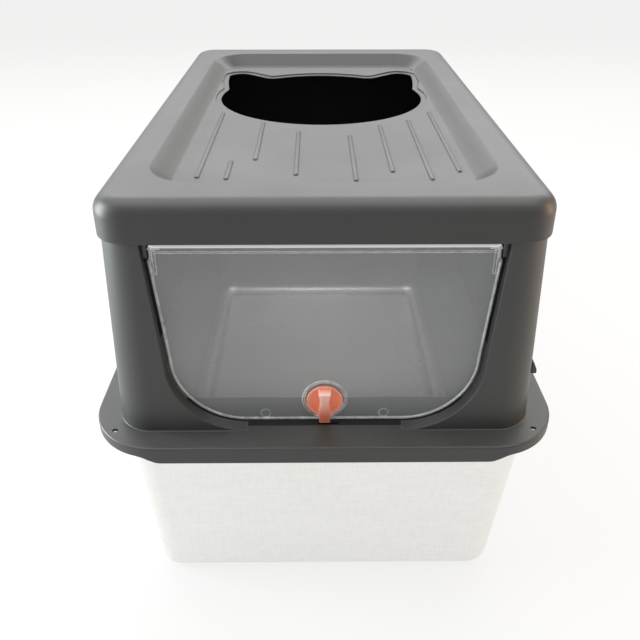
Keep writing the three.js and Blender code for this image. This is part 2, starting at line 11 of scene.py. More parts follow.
import bpy
import numpy as np
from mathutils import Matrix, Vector


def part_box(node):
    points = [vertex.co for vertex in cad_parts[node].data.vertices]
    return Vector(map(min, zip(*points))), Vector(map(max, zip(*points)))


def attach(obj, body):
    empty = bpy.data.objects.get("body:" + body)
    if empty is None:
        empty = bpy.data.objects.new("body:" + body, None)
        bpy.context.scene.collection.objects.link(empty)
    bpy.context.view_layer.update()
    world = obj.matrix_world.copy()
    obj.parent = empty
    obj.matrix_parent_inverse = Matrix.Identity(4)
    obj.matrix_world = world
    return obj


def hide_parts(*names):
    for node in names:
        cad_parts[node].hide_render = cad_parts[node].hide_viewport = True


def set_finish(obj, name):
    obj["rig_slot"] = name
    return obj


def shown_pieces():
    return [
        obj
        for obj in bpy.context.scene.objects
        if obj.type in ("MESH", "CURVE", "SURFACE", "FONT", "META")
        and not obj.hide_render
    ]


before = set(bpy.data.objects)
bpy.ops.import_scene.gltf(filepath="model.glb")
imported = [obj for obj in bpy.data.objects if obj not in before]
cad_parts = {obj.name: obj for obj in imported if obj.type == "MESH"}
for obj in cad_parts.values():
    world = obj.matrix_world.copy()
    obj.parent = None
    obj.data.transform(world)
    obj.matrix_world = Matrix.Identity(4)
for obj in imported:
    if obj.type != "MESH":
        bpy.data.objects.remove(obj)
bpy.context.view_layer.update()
METRES = 0.001  # this lesson thinks in millimetres


# %% [markdown]
# ## Measuring the frame
# Every size below starts from a CAD node's box, so that a new surface lies where the CAD
# piece is. Walls, radii and gaps repeat the maker's values.

# %% Boxes in millimetres
def box_mm(node):
    """The lowest and highest corner of a CAD node, in millimetres."""
    low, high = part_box(node)
    return np.array(low) / METRES, np.array(high) / METRES


_, pan_high = box_mm("litter_pan")
hood_low, hood_high = box_mm("hood_body")
lid_low, lid_high = box_mm("top_lid")
flap_low, flap_high = box_mm("entry_flap")
screw_low, screw_high = box_mm("knob_screw")
hook_low, hook_high = box_mm("scoop_hook")
print("lid", lid_low.round(1), lid_high.round(1))
print("hood", hood_low.round(1), hood_high.round(1))


# %% [markdown]
# ## Surfaces from closed loops
# A moulding with one wall thickness is a profile carried round a plan outline. So each piece
# is a list of closed loops with the same number of points, and a skin of quads joins each
# loop to the next. Loops are whole numpy arrays, and quads come from one index grid.

# %% Skin over loops
def volume(points, faces):
    """Signed volume: each face is a fan of triangles, and each adds a . (b x c) / 6."""
    fans = np.array([(f[0], f[k], f[k + 1]) for f in faces for k in range(1, len(f) - 1)])
    a, b, c = (points[fans[:, k]] - points.mean(0) for k in range(3))
    return np.einsum("ij,ij->", a, np.cross(b, c)) / 6


def skin(loops, ring=True):
    """Vertices and faces of a surface through loops of shape (m, n, 3).

    Vertex (i, j) is point j of loop i. Each quad joins (i, j), (i, j+1), (i+1, j+1) and
    (i+1, j), counting round each loop. A ring also joins the last loop to the first, as the
    surface of a hoop does; otherwise a flat face closes each end. Faces end up outwards.
    """
    loops = np.asarray(loops, float)
    rows, count = loops.shape[:2]
    i, j = np.meshgrid(np.arange(rows if ring else rows - 1), np.arange(count), indexing="ij")
    i2, j2 = (i + 1) % rows, (j + 1) % count
    quads = np.stack([i * count + j, i * count + j2, i2 * count + j2, i2 * count + j], -1)
    faces = quads.reshape(-1, 4).tolist()
    if not ring:
        faces.append(list(range(count))[::-1])
        faces.append([(rows - 1) * count + k for k in range(count)])
    points = loops.reshape(-1, 3)
    return points, faces if volume(points, faces) > 0 else [f[::-1] for f in faces]


def join(*parts):
    """Several (vertices, faces) pairs as one."""
    vertices, faces, start = [], [], 0
    for points, polygons in parts:
        vertices.append(points)
        faces += [[k + start for k in polygon] for polygon in polygons]
        start += len(points)
    return np.concatenate(vertices), faces


def build(name, part, sharp=40):
    """A Blender object from millimetre vertices and faces, smooth except at edges past sharp."""
    vertices, faces = part
    mesh = bpy.data.meshes.new(name)
    mesh.from_pydata((vertices * METRES).tolist(), [], faces)
    mesh.validate()
    mesh.polygons.foreach_set("use_smooth", np.ones(len(mesh.polygons), bool))
    mesh.set_sharp_from_angle(angle=math.radians(sharp))
    piece = bpy.data.objects.new(name, mesh)
    bpy.context.scene.collection.objects.link(piece)
    print(name, len(mesh.polygons), "faces")
    return piece


# %% Plan outline: a rectangle with round corners
def plan_track(front=120, side=48, back=60, corner=18):
    """Where each point of a plan outline belongs: its corner centre and its angle.

    Along a straight side the centre moves from one corner to the next while the angle
    stays; round a corner the centre stays while the angle turns a quarter. The first point
    is the middle of the front, and the track runs anticlockwise.
    """
    parts = []

    def side_run(x0, y0, x1, y1, angle, steps):
        t = np.arange(steps) / steps
        parts.append(np.stack([x0 + (x1 - x0) * t, y0 + (y1 - y0) * t, 0 * t + angle]))

    def corner_run(x, y, angle):
        t = np.arange(corner) / corner
        parts.append(np.stack([0 * t + x, 0 * t + y, angle + t * math.pi / 2]))

    half = math.pi / 2
    side_run(0, -1, 1, -1, -half, front // 2)
    corner_run(1, -1, -half)
    side_run(1, -1, 1, 1, 0, side)
    corner_run(1, 1, 0)
    side_run(1, 1, -1, 1, half, back)
    corner_run(-1, 1, half)
    side_run(-1, 1, -1, -1, math.pi, side)
    corner_run(-1, -1, math.pi)
    side_run(-1, -1, 0, -1, 3 * half, front // 2)
    return np.concatenate(parts, 1)


TRACK = plan_track()


def plan_loop(half_x, half_y, radius, z):
    """One loop: corner centre plus the corner radius along the angle, at height z."""
    cx, cy, angle = TRACK
    x = cx * (half_x - radius) + radius * np.cos(angle)
    y = cy * (half_y - radius) + radius * np.sin(angle)
    return np.stack([x, y, np.full_like(x, z) + 0 * x], 1)


# %% Profiles with rounded corners
def soften(points, closed=True, steps=5):
    """A profile polygon of (out, z, radius) whose corners become arcs.

    At each corner the arc's tangent points lie radius * tan(turn / 2) along both sides, and
    the arc is the blend of its two ends and the corner: (1-t)^2 A + 2t(1-t) P + t^2 B.
    """
    rows = np.array(points, float)
    flat, radius = rows[:, :2], rows[:, 2]
    count = len(flat)
    out = []
    for k in range(count):
        here = flat[k]
        if not closed and k in (0, count - 1) or radius[k] == 0:
            out.append(here[None])
            continue
        to_last, to_next = flat[k - 1] - here, flat[(k + 1) % count] - here
        long_last, long_next = np.linalg.norm(to_last), np.linalg.norm(to_next)
        unit_last, unit_next = to_last / long_last, to_next / long_next
        inside = math.acos(np.clip(unit_last @ unit_next, -1, 1))
        reach = radius[k] * math.tan((math.pi - inside) / 2)
        reach = min(reach, 0.49 * long_last, 0.49 * long_next)
        t = np.linspace(0, 1, steps + 1)[:, None]
        start, end = here + unit_last * reach, here + unit_next * reach
        out.append((1 - t) ** 2 * start + 2 * t * (1 - t) * here + t ** 2 * end)
    return np.concatenate(out)


# %% [markdown]
# ## The pan
# The real pan is one sheet of stainless steel, drawn deep, so it tapers to let the punch out,
# its bottom corners are full radii, and its rim is rolled over for stiffness. A lathe could
# not make it because it is not round, and a subdivided box would lose the even wall. Loops
# carried from the floor up the outside, over the rim and down the inside keep one thickness.

# %% Litter pan
PAN_WALL = 0.8
PAN_TAPER = 18.1
PAN_CORNER = 34.0
PAN_FILLET = 13.2
RIM_OUT = 5.5
RIM_DROP = 7.2
pan_top_x, pan_top_y = pan_high[0] - RIM_OUT, pan_high[1] - RIM_OUT
rim_z = pan_high[2]


def pan_wall_loops(inset):
    """Floor fillet and wall, moved in by inset: z = r(1 - cos a), pulled in r(1 - sin a)."""
    radius = PAN_FILLET - inset
    angles = np.linspace(0, math.pi / 2, 11)
    heights = list(inset + radius * (1 - np.cos(angles)))
    pulls = list(inset + radius * (1 - np.sin(angles)))
    heights += list(np.linspace(heights[-1] + 12, rim_z - 2.4, 5))
    pulls += [inset] * 5
    loops = []
    for z, pull in zip(heights, pulls):
        pull = pull + PAN_TAPER * (1 - z / rim_z)
        corner = PAN_CORNER - pull * 0.6
        loops.append(plan_loop(pan_top_x - pull, pan_top_y - pull, corner, z))
    return loops


def rim_loops():
    """The rolled rim: out from the wall, down at its edge, and back over a round top."""
    profile = soften([
        (0.2, rim_z - 1.7, 0), (RIM_OUT - PAN_WALL, rim_z - 1.7, 1.0),
        (RIM_OUT - PAN_WALL, rim_z - RIM_DROP, 0.3), (RIM_OUT, rim_z - RIM_DROP, 0.3),
        (RIM_OUT, rim_z, 2.2), (PAN_WALL, rim_z, 0.9), (-PAN_WALL, rim_z - 2.2, 0),
    ], closed=False)
    return [plan_loop(pan_top_x + o, pan_top_y + o, PAN_CORNER + o, z) for o, z in profile]


pan = build("steel_pan", skin(pan_wall_loops(0) + rim_loops()
                              + pan_wall_loops(PAN_WALL)[::-1], ring=False))
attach(pan, "pan")
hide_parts("litter_pan")
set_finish(pan, "pan_steel")

# %% [markdown]
# ## The hood
# The hood is an open box with no bottom or top: a drafted wall, a lip that hangs inside the
# pan, a flange with a turned-down edge, and a neck that the lid slips over. Its section is
# carried round the plan. The front stretch of the flange's edge hangs lower, so the loop's
# lowest points drop there on a smooth ramp. The doorway can't be a loop of the same plan, so
# it is a second loft, through the wall, and a Boolean cuts it; its mouth flares by a
# quarter round, which leaves a moulded edge instead of a knife edge.

# %% Hood profile round the plan
HOOD_WALL = 3.0
DRAFT = 5.0
HOOD_CORNER = 32.0
FLANGE_OUT_X = 22.2
FLANGE_OUT_Y = 22.5
FLANGE_CORNER = 60.0
FLANGE_Z = 196.0
EDGE_DEPTH = 10.0
FRONT_EDGE_DEPTH = 16.7
NECK_IN = 2.1
LIP_IN = 2.4
shoulder_z = lid_low[2] - 0.3
foot_x, foot_y = hood_high[0] - FLANGE_OUT_X, hood_high[1] - FLANGE_OUT_Y
SKIRT_HALF = 151.0
SKIRT_RAMP = 10.0


def wall_flare(z):
    """How far the wall stands out beyond its shoulder at height z: it grows evenly downwards."""
    return DRAFT * np.clip((shoulder_z - z) / (shoulder_z - FLANGE_Z), 0, 1)


def smooth(t):
    """Smoothstep, 3t^2 - 2t^3, held at 0 and 1."""
    t = np.clip(t, 0, 1)
    return t * t * (3 - 2 * t)


def hood_loop(out, z):
    """A loop at height z, out from the wall; the corner opens to the flange's big radius."""
    share = max(out, 0) / FLANGE_OUT_X
    flare = float(wall_flare(z)) - DRAFT
    half_x = foot_x + flare + out
    half_y = foot_y + flare + out + share * (FLANGE_OUT_Y - FLANGE_OUT_X)
    corner = HOOD_CORNER + min(out, 0) + share * (FLANGE_CORNER - HOOD_CORNER)
    loop = plan_loop(half_x, half_y, corner, z)
    if out > FLANGE_OUT_X - HOOD_WALL - 0.5 and z < FLANGE_Z - HOOD_WALL:
        edge_z = FLANGE_Z - EDGE_DEPTH
        share_down = min(1.0, (FLANGE_Z - HOOD_WALL - z) / (FLANGE_Z - HOOD_WALL - edge_z))
        ramp = 1 - smooth((np.abs(loop[:, 0]) - SKIRT_HALF + SKIRT_RAMP) / (2 * SKIRT_RAMP))
        ramp = ramp * (loop[:, 1] < 0)
        loop[:, 2] -= (FRONT_EDGE_DEPTH - EDGE_DEPTH) * ramp * share_down
    return loop


under_z, edge_z, neck_z = FLANGE_Z - HOOD_WALL, FLANGE_Z - EDGE_DEPTH, hood_high[2]
lip_z = hood_low[2]
hood_profile = soften([
    (-LIP_IN - HOOD_WALL, lip_z, 1.0), (-LIP_IN, lip_z, 1.0), (-LIP_IN, under_z, 0.6),
    (FLANGE_OUT_X - HOOD_WALL, under_z, 0.6), (FLANGE_OUT_X - HOOD_WALL, edge_z, 1.0),
    (FLANGE_OUT_X, edge_z, 0.9), (FLANGE_OUT_X, FLANGE_Z, 2.2), (0, FLANGE_Z, 1.3),
    (0, shoulder_z, 0.7), (-NECK_IN, shoulder_z, 0.3), (-NECK_IN, neck_z, 0.9),
    (-NECK_IN - HOOD_WALL, neck_z, 0.9), (-NECK_IN - HOOD_WALL, shoulder_z, 1.0),
    (-HOOD_WALL, FLANGE_Z, 1.0),
])
hood = build("moulded_hood", skin([hood_loop(o, z) for o, z in hood_profile]))

# %% Doorway outline
DOOR_TOP_HALF = 142.8
DOOR_LOW_HALF = 134.0
DOOR_CORNER = 66.0
DOOR_HEAD_GAP = 0.8
JAMB_DEPTH = 7.0
SILL_DEPTH = 40.5
STEP_UP = 0.5  # the curved jambs meet the flat sill in a small step
door_head = shoulder_z - DOOR_HEAD_GAP
front_wall = -(foot_y - DRAFT)
jamb_back = front_wall + JAMB_DEPTH


def polyline(points, count):
    """count points spread evenly along an open line of points."""
    points = np.asarray(points, float)
    step = np.r_[0, np.cumsum(np.linalg.norm(np.diff(points, axis=0), axis=1))]
    at = np.linspace(0, step[-1], count)
    return np.stack([np.interp(at, step, points[:, k]) for k in range(points.shape[1])], 1)


def doorway(grow, top, bottom=None, count=200):
    """The doorway in X-Z, grown evenly: sill, quarter-round corners, leaning sides, head."""
    angle = np.linspace(-math.pi / 2, 0, 40)
    reach = DOOR_CORNER + grow
    bend = np.stack([DOOR_LOW_HALF - DOOR_CORNER + reach * np.cos(angle),
                     FLANGE_Z + STEP_UP + DOOR_CORNER + reach * np.sin(angle)], 1)
    sill_end = DOOR_LOW_HALF - DOOR_CORNER - 0.1
    right = np.concatenate([[[0, FLANGE_Z - grow], [sill_end, FLANGE_Z - grow]], bend,
                            [[DOOR_TOP_HALF + grow, top]]])
    right = polyline(right, count)
    if bottom is not None:
        right[:, 1] = np.maximum(right[:, 1], bottom)
    left = right[::-1] * [-1, 1]
    return np.concatenate([right, left[:-1]])


def through_wall(outline, y):
    """A doorway outline as a loop at depth y, which may differ from point to point."""
    return np.stack([outline[:, 0], np.broadcast_to(y, len(outline)), outline[:, 1]], 1)


def face_y(outline):
    """The front wall's surface at each point's height."""
    return front_wall - wall_flare(outline[:, 1])


# %% Jamb and doorway cutter
MOUTH_ROUND = 0.9
SILL_SKIN = 0.03  # the cutter floats this far above the flange, so faces never coincide

jamb_loops = []
for grow, behind in [(HOOD_WALL, 1.4), (HOOD_WALL + 0.05, 2.2)]:
    ring = doorway(grow, door_head + HOOD_WALL)
    jamb_loops.append(through_wall(ring, face_y(ring) + behind))
for grow, y in [(HOOD_WALL + 0.05, jamb_back - 1), (HOOD_WALL - 0.3, jamb_back - 0.3),
                (HOOD_WALL - 1, jamb_back)]:
    jamb_loops.append(through_wall(doorway(grow, door_head + grow), y))
SILL_SINK = 0.04
sill_half, sill_front = foot_x - 2, -foot_y + 2
sill_back = front_wall + SILL_DEPTH
sill_line = np.array([(-sill_half, sill_back), (-sill_half, sill_front),
                      (sill_half, sill_front), (sill_half, sill_back)])
sill_line = polyline(np.concatenate([sill_line, sill_line[:1]]), 400)[:-1]
sill_profile = [(0.8, FLANGE_Z - HOOD_WALL + SILL_SINK), (0, FLANGE_Z - HOOD_WALL + 0.8),
                (0, FLANGE_Z - 0.8), (0.25, FLANGE_Z - 0.3), (0.8, FLANGE_Z - SILL_SINK)]
sill_loops = [np.column_stack([sill_line * (1 - inset / np.array([sill_half, 1e9]))
                               - [0, inset * 1.0], np.full(len(sill_line), z)])
              for inset, z in sill_profile]
jamb = build("jamb_solid", skin(jamb_loops, ring=False))
sill = build("sill_solid", skin(sill_loops, ring=False))

cutter_loops = []
mouth = doorway(MOUTH_ROUND, door_head, FLANGE_Z + SILL_SKIN)
cutter_loops.append(through_wall(mouth, front_wall - DRAFT - 8))
for angle in np.linspace(0, math.pi / 2, 7):
    grow = MOUTH_ROUND * (1 - math.sin(angle))
    ring = doorway(grow, door_head, FLANGE_Z + SILL_SKIN)
    cutter_loops.append(through_wall(ring, face_y(ring) + MOUTH_ROUND * (1 - math.cos(angle))))
for grow, y in [(0, jamb_back - 0.7), (0.25, jamb_back - 0.2), (0.8, jamb_back + 0.1),
                (0.8, jamb_back + 4)]:
    cutter_loops.append(through_wall(doorway(grow, door_head, FLANGE_Z + SILL_SKIN), y))
doorway_cutter = build("doorway_cutter", skin(cutter_loops, ring=False))

# %% Drain holes and the keeper slot
DRAIN_W, DRAIN_D = 5.0, 3.8
DRAIN_IN_X, DRAIN_IN_Y = 22.5, 24.0
KEEPER_W, KEEPER_D = 18.2, 2.2
KEEPER_X = 3.3
KNOB_STAND = 2.0
FLAP_THICK = 2.4


def stadium(half_x, half_y, radius, count=32):
    """A small plan outline: the supercurve |x/a|^n + |y/b|^n = 1 with n from its corner."""
    angle = np.linspace(0, 2 * math.pi, count, endpoint=False)
    power = 2 / (2 + 6 * (1 - radius / min(half_x, half_y)))
    x = half_x * np.sign(np.cos(angle)) * np.abs(np.cos(angle)) ** power
    y = half_y * np.sign(np.sin(angle)) * np.abs(np.sin(angle)) ** power
    return np.stack([x, y], 1)


def plug(outline, x, y, low, high, flare=0.5):
    """A cutter through a flat plate whose mouth flares a little at the plate's top."""
    rows = []
    for z, grow in [(low, 0), (high - flare, 0), (high - 0.3 * flare, 0.3 * flare),
                    (high, flare), (high + 3, flare)]:
        scale = 1 + grow / np.abs(outline).max(0)
        rows.append(np.column_stack([outline * scale + [x, y], np.full(len(outline), z)]))
    return skin(rows, ring=False)


flap_mid = (flap_low[1] + flap_high[1]) / 2
keeper_y = flap_mid - FLAP_THICK / 2 - KNOB_STAND - KEEPER_D / 2
drain = stadium(DRAIN_W / 2, DRAIN_D / 2, DRAIN_D / 2.2)
plugs = [plug(drain, sx * (hood_high[0] - DRAIN_IN_X), sy * (hood_high[1] - DRAIN_IN_Y),
              under_z - 2, FLANGE_Z) for sx in (-1, 1) for sy in (-1, 1)]
keeper = stadium(KEEPER_W / 2, KEEPER_D / 2, 0.5, 64)
plugs.append(plug(keeper, KEEPER_X, keeper_y, under_z - 2, FLANGE_Z, 0.3))
plug_cutter = build("plug_cutter", join(*plugs))


# %% Cut the hood
def combine(piece, other, operation):
    """Joins or cuts a piece with another closed solid, then forgets the other."""
    step = piece.modifiers.new(operation.lower(), "BOOLEAN")
    step.object, step.operation, step.solver = other, operation, "MANIFOLD"
    bpy.context.view_layer.update()
    result = bpy.data.meshes.new_from_object(
        piece.evaluated_get(bpy.context.evaluated_depsgraph_get()))
    piece.modifiers.clear()
    piece.data = result
    bpy.data.objects.remove(other)
    print(piece.name, operation.lower(), len(result.polygons), "faces")


def settle_normals(piece, sharp=32):
    """Smooth faces whose big flat neighbours keep their own direction at shared corners."""
    mesh = piece.data
    mesh.polygons.foreach_set("use_smooth", np.ones(len(mesh.polygons), bool))
    mesh.set_sharp_from_angle(angle=math.radians(sharp))
    step = piece.modifiers.new("weighted", "WEIGHTED_NORMAL")
    step.keep_sharp, step.weight = True, 80


combine(hood, jamb, "UNION")
combine(hood, doorway_cutter, "DIFFERENCE")
combine(hood, sill, "UNION")
combine(hood, plug_cutter, "DIFFERENCE")
settle_normals(hood)
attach(hood, "hood")
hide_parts("hood_body")
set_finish(hood, "hood_plastic")

# %% [markdown]
# ## The lid
# The lid is one moulding: a rounded edge, a shallow dish and a cat-head hole with a step
# round it. All of these are closed loops about the same middle, so one skin can run from the
# hole, across the dish, over the edge and back underneath. The only trick is that a cat's
# head and a rectangle must share their points, so landmarks on both, such as cheeks, ears
# and crown, are tied to each other and the points between them are spread evenly.

# %% Cat-head outline
HEAD_HALF = 120.5
HEAD_CHIN = 118.5
HEAD_CROWN = 110.0
NECK_RISE, NECK_PINCH, NECK_R = 31.0, 1.6, 4.5
EAR_R, EAR_X, EAR_RISE = 16.5, 106.5, 105.5
EAR_FROM, EAR_TO = -0.35, 2.27
DIP_X, DIP_R = 63.5, 8.0
CROWN_R, CROWN_TURN = 118.0, 0.485
DISH_RIM_X, DISH_RIM_Y = 32.5, 41.0
DISH_DEPTH, DISH_SLOPE, DISH_CORNER = 14.0, 19.0, 46.0
HEAD_BACK_IN = 49.0
LEDGE_WIDE, LEDGE_DEEP = 6.2, 1.8
lid_half_x, lid_half_y, lid_top = lid_high[0], lid_high[1], lid_high[2]
dish_foot_y = lid_half_y - DISH_RIM_Y - DISH_SLOPE
cheek_y = dish_foot_y - HEAD_BACK_IN - HEAD_CROWN


def arc(cx, cy, rx, ry, start, end, count=60):
    """Points of an ellipse's arc."""
    a = np.linspace(start, end, count)
    return np.stack([cx + rx * np.cos(a), cy + ry * np.sin(a)], 1)


def bezier(*controls, count=30):
    """A Bezier curve: each control point weighted by its Bernstein polynomial."""
    t = np.linspace(0, 1, count)[:, None]
    degree = len(controls) - 1
    return sum(math.comb(degree, k) * t ** k * (1 - t) ** (degree - k) * np.array(p, float)
               for k, p in enumerate(controls))


def cat_head_half():
    """Right half of the outline, from the chin over the cheek and ear to the crown."""
    ear_y, crown_y = cheek_y + EAR_RISE, cheek_y + HEAD_CROWN
    neck_turn = math.asin(NECK_RISE / HEAD_CHIN)
    neck = np.array([HEAD_HALF * math.cos(neck_turn), cheek_y + NECK_RISE])
    ear = arc(EAR_X, ear_y, EAR_R, EAR_R, EAR_FROM, EAR_TO)
    crown = arc(0, crown_y - CROWN_R, CROWN_R, CROWN_R, math.pi / 2 - CROWN_TURN, math.pi / 2)
    temple = neck + [0, 2 * NECK_R]
    brow = np.array([DIP_X + DIP_R, crown[0, 1]])
    pieces = [
        arc(0, cheek_y, HEAD_HALF, HEAD_CHIN, -math.pi / 2, neck_turn, 120),
        bezier(neck, neck + [-NECK_PINCH, NECK_R], temple),
        bezier(temple, (EAR_X + EAR_R, ear_y - EAR_R), ear[0]),
        ear,
        bezier(brow, (DIP_X, crown[0, 1] - DIP_R / 2), crown[0]),
        crown,
    ]
    line = np.concatenate(pieces)
    keep = np.r_[True, np.linalg.norm(np.diff(line, axis=0), axis=1) > 1e-6]
    return line[keep]


def moved_out(line, distance):
    """A closed outline moved outwards along its smoothed normals."""
    along = np.roll(line, -1, 0) - np.roll(line, 1, 0)
    along /= np.linalg.norm(along, axis=1)[:, None]
    return line + distance * np.stack([along[:, 1], -along[:, 0]], 1)


def head_share():
    """Each plan point's share of the way round the head's half, tied at the landmarks."""
    loop = plan_loop(lid_half_x - DISH_RIM_X, lid_half_y - DISH_RIM_Y, DISH_CORNER, 0)
    step = np.linalg.norm(np.roll(loop, -1, 0) - loop, axis=1)
    way = np.r_[0, np.cumsum(step)[:-1]] / step.sum()
    half_way = np.where(way <= 0.5, way, 1 - way)
    right = loop[:, 0] >= -1e-9
    landmarks = []
    for x, y in [(0, -1e3), (1e3, cheek_y), (1e3, 1e3), (0, 1e3)]:
        target = np.clip([x, y], [0, -lid_half_y], [lid_half_x, lid_half_y])
        near = np.argmin(np.where(right, np.linalg.norm(loop[:, :2] - target, axis=1), 1e9))
        landmarks.append(half_way[near])
    landmarks[0], landmarks[-1] = 0.0, 0.5
    return half_way, way, landmarks


half_line = cat_head_half()
half_long = np.r_[0, np.cumsum(np.linalg.norm(np.diff(half_line, axis=0), axis=1))]
ear_tip = np.argmax(half_line @ [0.6, 0.8])
cheek = np.argmax(half_line[:, 0] * (np.abs(half_line[:, 1] - cheek_y) < 3))
HALF_WAY, WAY, MARKS = head_share()
head_marks = [0, half_long[cheek], half_long[ear_tip], half_long[-1]]


def head_loop(grow, z):
    """The cat head as a loop with the plan's points, grown by a distance, at height z."""
    at = np.interp(HALF_WAY, MARKS, head_marks)
    side = np.where(WAY <= 0.5, 1, -1)
    line = np.stack([np.interp(at, half_long, half_line[:, 0]) * side,
                     np.interp(at, half_long, half_line[:, 1])], 1)
    line = moved_out(line, grow) if grow else line
    return np.column_stack([line, np.full(len(line), z)])


# %% Lid loops
LID_WALL = 3.0
LID_EDGE = 14.0
LID_CORNER = 28.0
floor_z = lid_top - DISH_DEPTH


def lid_loop(inset, z):
    """A loop of the lid's side, moved in."""
    return plan_loop(lid_half_x - inset, lid_half_y - inset, LID_CORNER - inset, z)


def dish_loop(inset, z):
    """A loop of the dish, moved in from its edge."""
    return plan_loop(lid_half_x - DISH_RIM_X - inset, lid_half_y - DISH_RIM_Y - inset,
                     DISH_CORNER - inset, z)


RIM_SOFT = 0.25  # share of the slope that eases in and out; the rest is straight


def dish_slope(wall, steps=14):
    """The dish's side from foot to edge: height follows smoothstep over the run."""
    t = np.linspace(0, 1, steps)
    run = DISH_SLOPE * t
    rise = DISH_DEPTH * (RIM_SOFT * smooth(t) + (1 - RIM_SOFT) * t)
    return [dish_loop(DISH_SLOPE - r - wall, floor_z + h - wall) for r, h in zip(run, rise)]


def hole_edge():
    """From the hole's underside up its wall, over the step and out to the dish's floor."""
    step_z = floor_z - LEDGE_DEEP
    profile = soften([
        (2.0, floor_z - LID_WALL, 0), (0, floor_z - LID_WALL, 0.5), (0, step_z, 0.6),
        (LEDGE_WIDE, step_z, 0.5), (LEDGE_WIDE, floor_z, 0.6), (LEDGE_WIDE + 2.0, floor_z, 0),
    ], closed=False, steps=4)
    return [head_loop(grow, z) for grow, z in profile]


def lid_side(wall, steps=12):
    """Rounded edge of the lid, or of its hollow when moved in by the wall."""
    radius = LID_EDGE - wall
    angle = np.linspace(math.pi / 2, 0, steps)
    return [lid_loop(wall + radius * (1 - math.cos(a)), lid_top - LID_EDGE + radius * math.sin(a))
            for a in angle]


lid_foot = soften([(0, lid_top - LID_EDGE - 2, 0), (0, lid_low[2], 0.9),
                   (LID_WALL, lid_low[2], 0.9), (LID_WALL, lid_top - LID_EDGE - 2, 0)],
                  closed=False)
lid_loops = (hole_edge() + dish_slope(0) + lid_side(0)
             + [lid_loop(inset, z) for inset, z in lid_foot]
             + lid_side(LID_WALL)[::-1] + dish_slope(LID_WALL)[::-1])
lid = build("moulded_lid", skin(lid_loops), sharp=50)
settle_normals(lid, 50)
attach(lid, "lid")
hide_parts("top_lid")
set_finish(lid, "lid_plastic")

# %% [markdown]
# ## Grip ribs
# Eight low ribs on the dish's floor stop paws from slipping. Each is a flattened rod with
# round ends, half sunk into the floor: an ellipse carried along the rib, shrinking to a pole
# at each end by a quarter circle.

# %% Ribs
RIB_HALF_W, RIB_HIGH = 2.3, 1.3
RIBS = [  # across from the middle, start behind the dish's foot, length
    (-109.4, 27, 201), (-83.9, 23, 47), (-62.5, 72, 118), (-24.4, 33, 125),
    (27.3, 19, 126), (60.5, 40, 140), (92.5, 21, 177), (119.2, 40, 190),
]


def rib(x, start, length, count=20, ends=7):
    """A rod along Y with an elliptic section, scaled by cos(b) towards each end."""
    b = np.linspace(-math.pi / 2, math.pi / 2, 2 * ends)
    y = start + np.where(b < 0, RIB_HALF_W, length - RIB_HALF_W) + RIB_HALF_W * np.sin(b)
    scale = np.maximum(np.cos(b), 0.02)
    angle = np.linspace(0, 2 * math.pi, count, endpoint=False)
    row = np.stack([RIB_HALF_W * np.sin(angle), 0 * angle, RIB_HIGH * np.cos(angle)], 1)
    return skin(row[None] * scale[:, None, None] + np.stack([
        0 * y + x, y - dish_foot_y, 0 * y + floor_z], 1)[:, None], ring=False)


ribs = build("lid_grip_ribs", join(*[rib(*r) for r in RIBS]), sharp=60)
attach(ribs, "lid")
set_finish(ribs, "lid_plastic")

# %% [markdown]
# ## The front flap
# The flap is a frosted, half-clear sheet that hangs in the doorway. It is moulded with a
# round hole for the knob's shaft, a raised collar round it, a thin raised border, a square
# bead along its top that hides the hinge pins, and two short ribs. A sheet with a hole is a
# ring: loops run from the hole, over the collar, out to the border and back on the far side.

# %% Flap outline
FLAP_CLEAR = 2.5
SHOULDER_IN, SHOULDER_H = 3.0, 13.0
SHAFT_HOLE = 4.3
COLLAR_OUT, COLLAR_IN, COLLAR_HIGH = 19.4, 17.4, 1.2
BORDER_WIDE, BORDER_HIGH = 1.6, 0.8
PIN_GAP = 3.5
flap_front, flap_back = flap_mid - FLAP_THICK / 2, flap_mid + FLAP_THICK / 2
flap_top = flap_high[2]
hinge_z = flap_top - PIN_GAP
knob_axis = (screw_low[2] + screw_high[2]) / 2
flap_top_half = DOOR_TOP_HALF - FLAP_CLEAR - SHOULDER_IN


def flap_outline(inset, count=420):
    """Right half from the sill's middle round to the head's middle, then mirrored."""
    angle = np.linspace(-math.pi / 2, 0, 40)
    reach = DOOR_CORNER - FLAP_CLEAR - inset
    bend = np.stack([DOOR_LOW_HALF - DOOR_CORNER + reach * np.cos(angle),
                     FLANGE_Z + DOOR_CORNER + reach * np.sin(angle)], 1)
    lean = (DOOR_TOP_HALF - DOOR_LOW_HALF) / (door_head - FLANGE_Z - DOOR_CORNER)
    shoulder = flap_top - SHOULDER_H - inset
    outer = bend[-1, 0] + lean * (shoulder - bend[-1, 1])
    inner = flap_top_half - inset
    tip = flap_top - inset
    right = np.concatenate([
        [[0, bend[0, 1]]], bend,
        bezier((outer - 0.04, shoulder - 1.2), (outer, shoulder), (outer - 1.2, shoulder + 0.5),
               count=8),
        bezier((inner + 0.5, shoulder + 1.2), (inner, shoulder + 1.4), (inner, shoulder + 2),
               count=6),
        bezier((inner, tip - 2), (inner, tip), (inner - 2, tip), count=10),
        [[0, tip]],
    ])
    right = polyline(right, count // 2 + 1)
    return np.concatenate([right, right[-2:0:-1] * [-1, 1]])


def ring_at(radius, outline):
    """A circle about the knob's axis, each point at the same bearing as the outline's."""
    away = outline - [0, knob_axis]
    return [0, knob_axis] + radius * away / np.linalg.norm(away, axis=1)[:, None]


# %% Flap sheet, bead, ribs and marks
outer_line = flap_outline(0)


def flap_loop(line, y):
    """A flap outline as a loop at depth y."""
    return np.column_stack([line[:, 0], np.full(len(line), y), line[:, 1]])


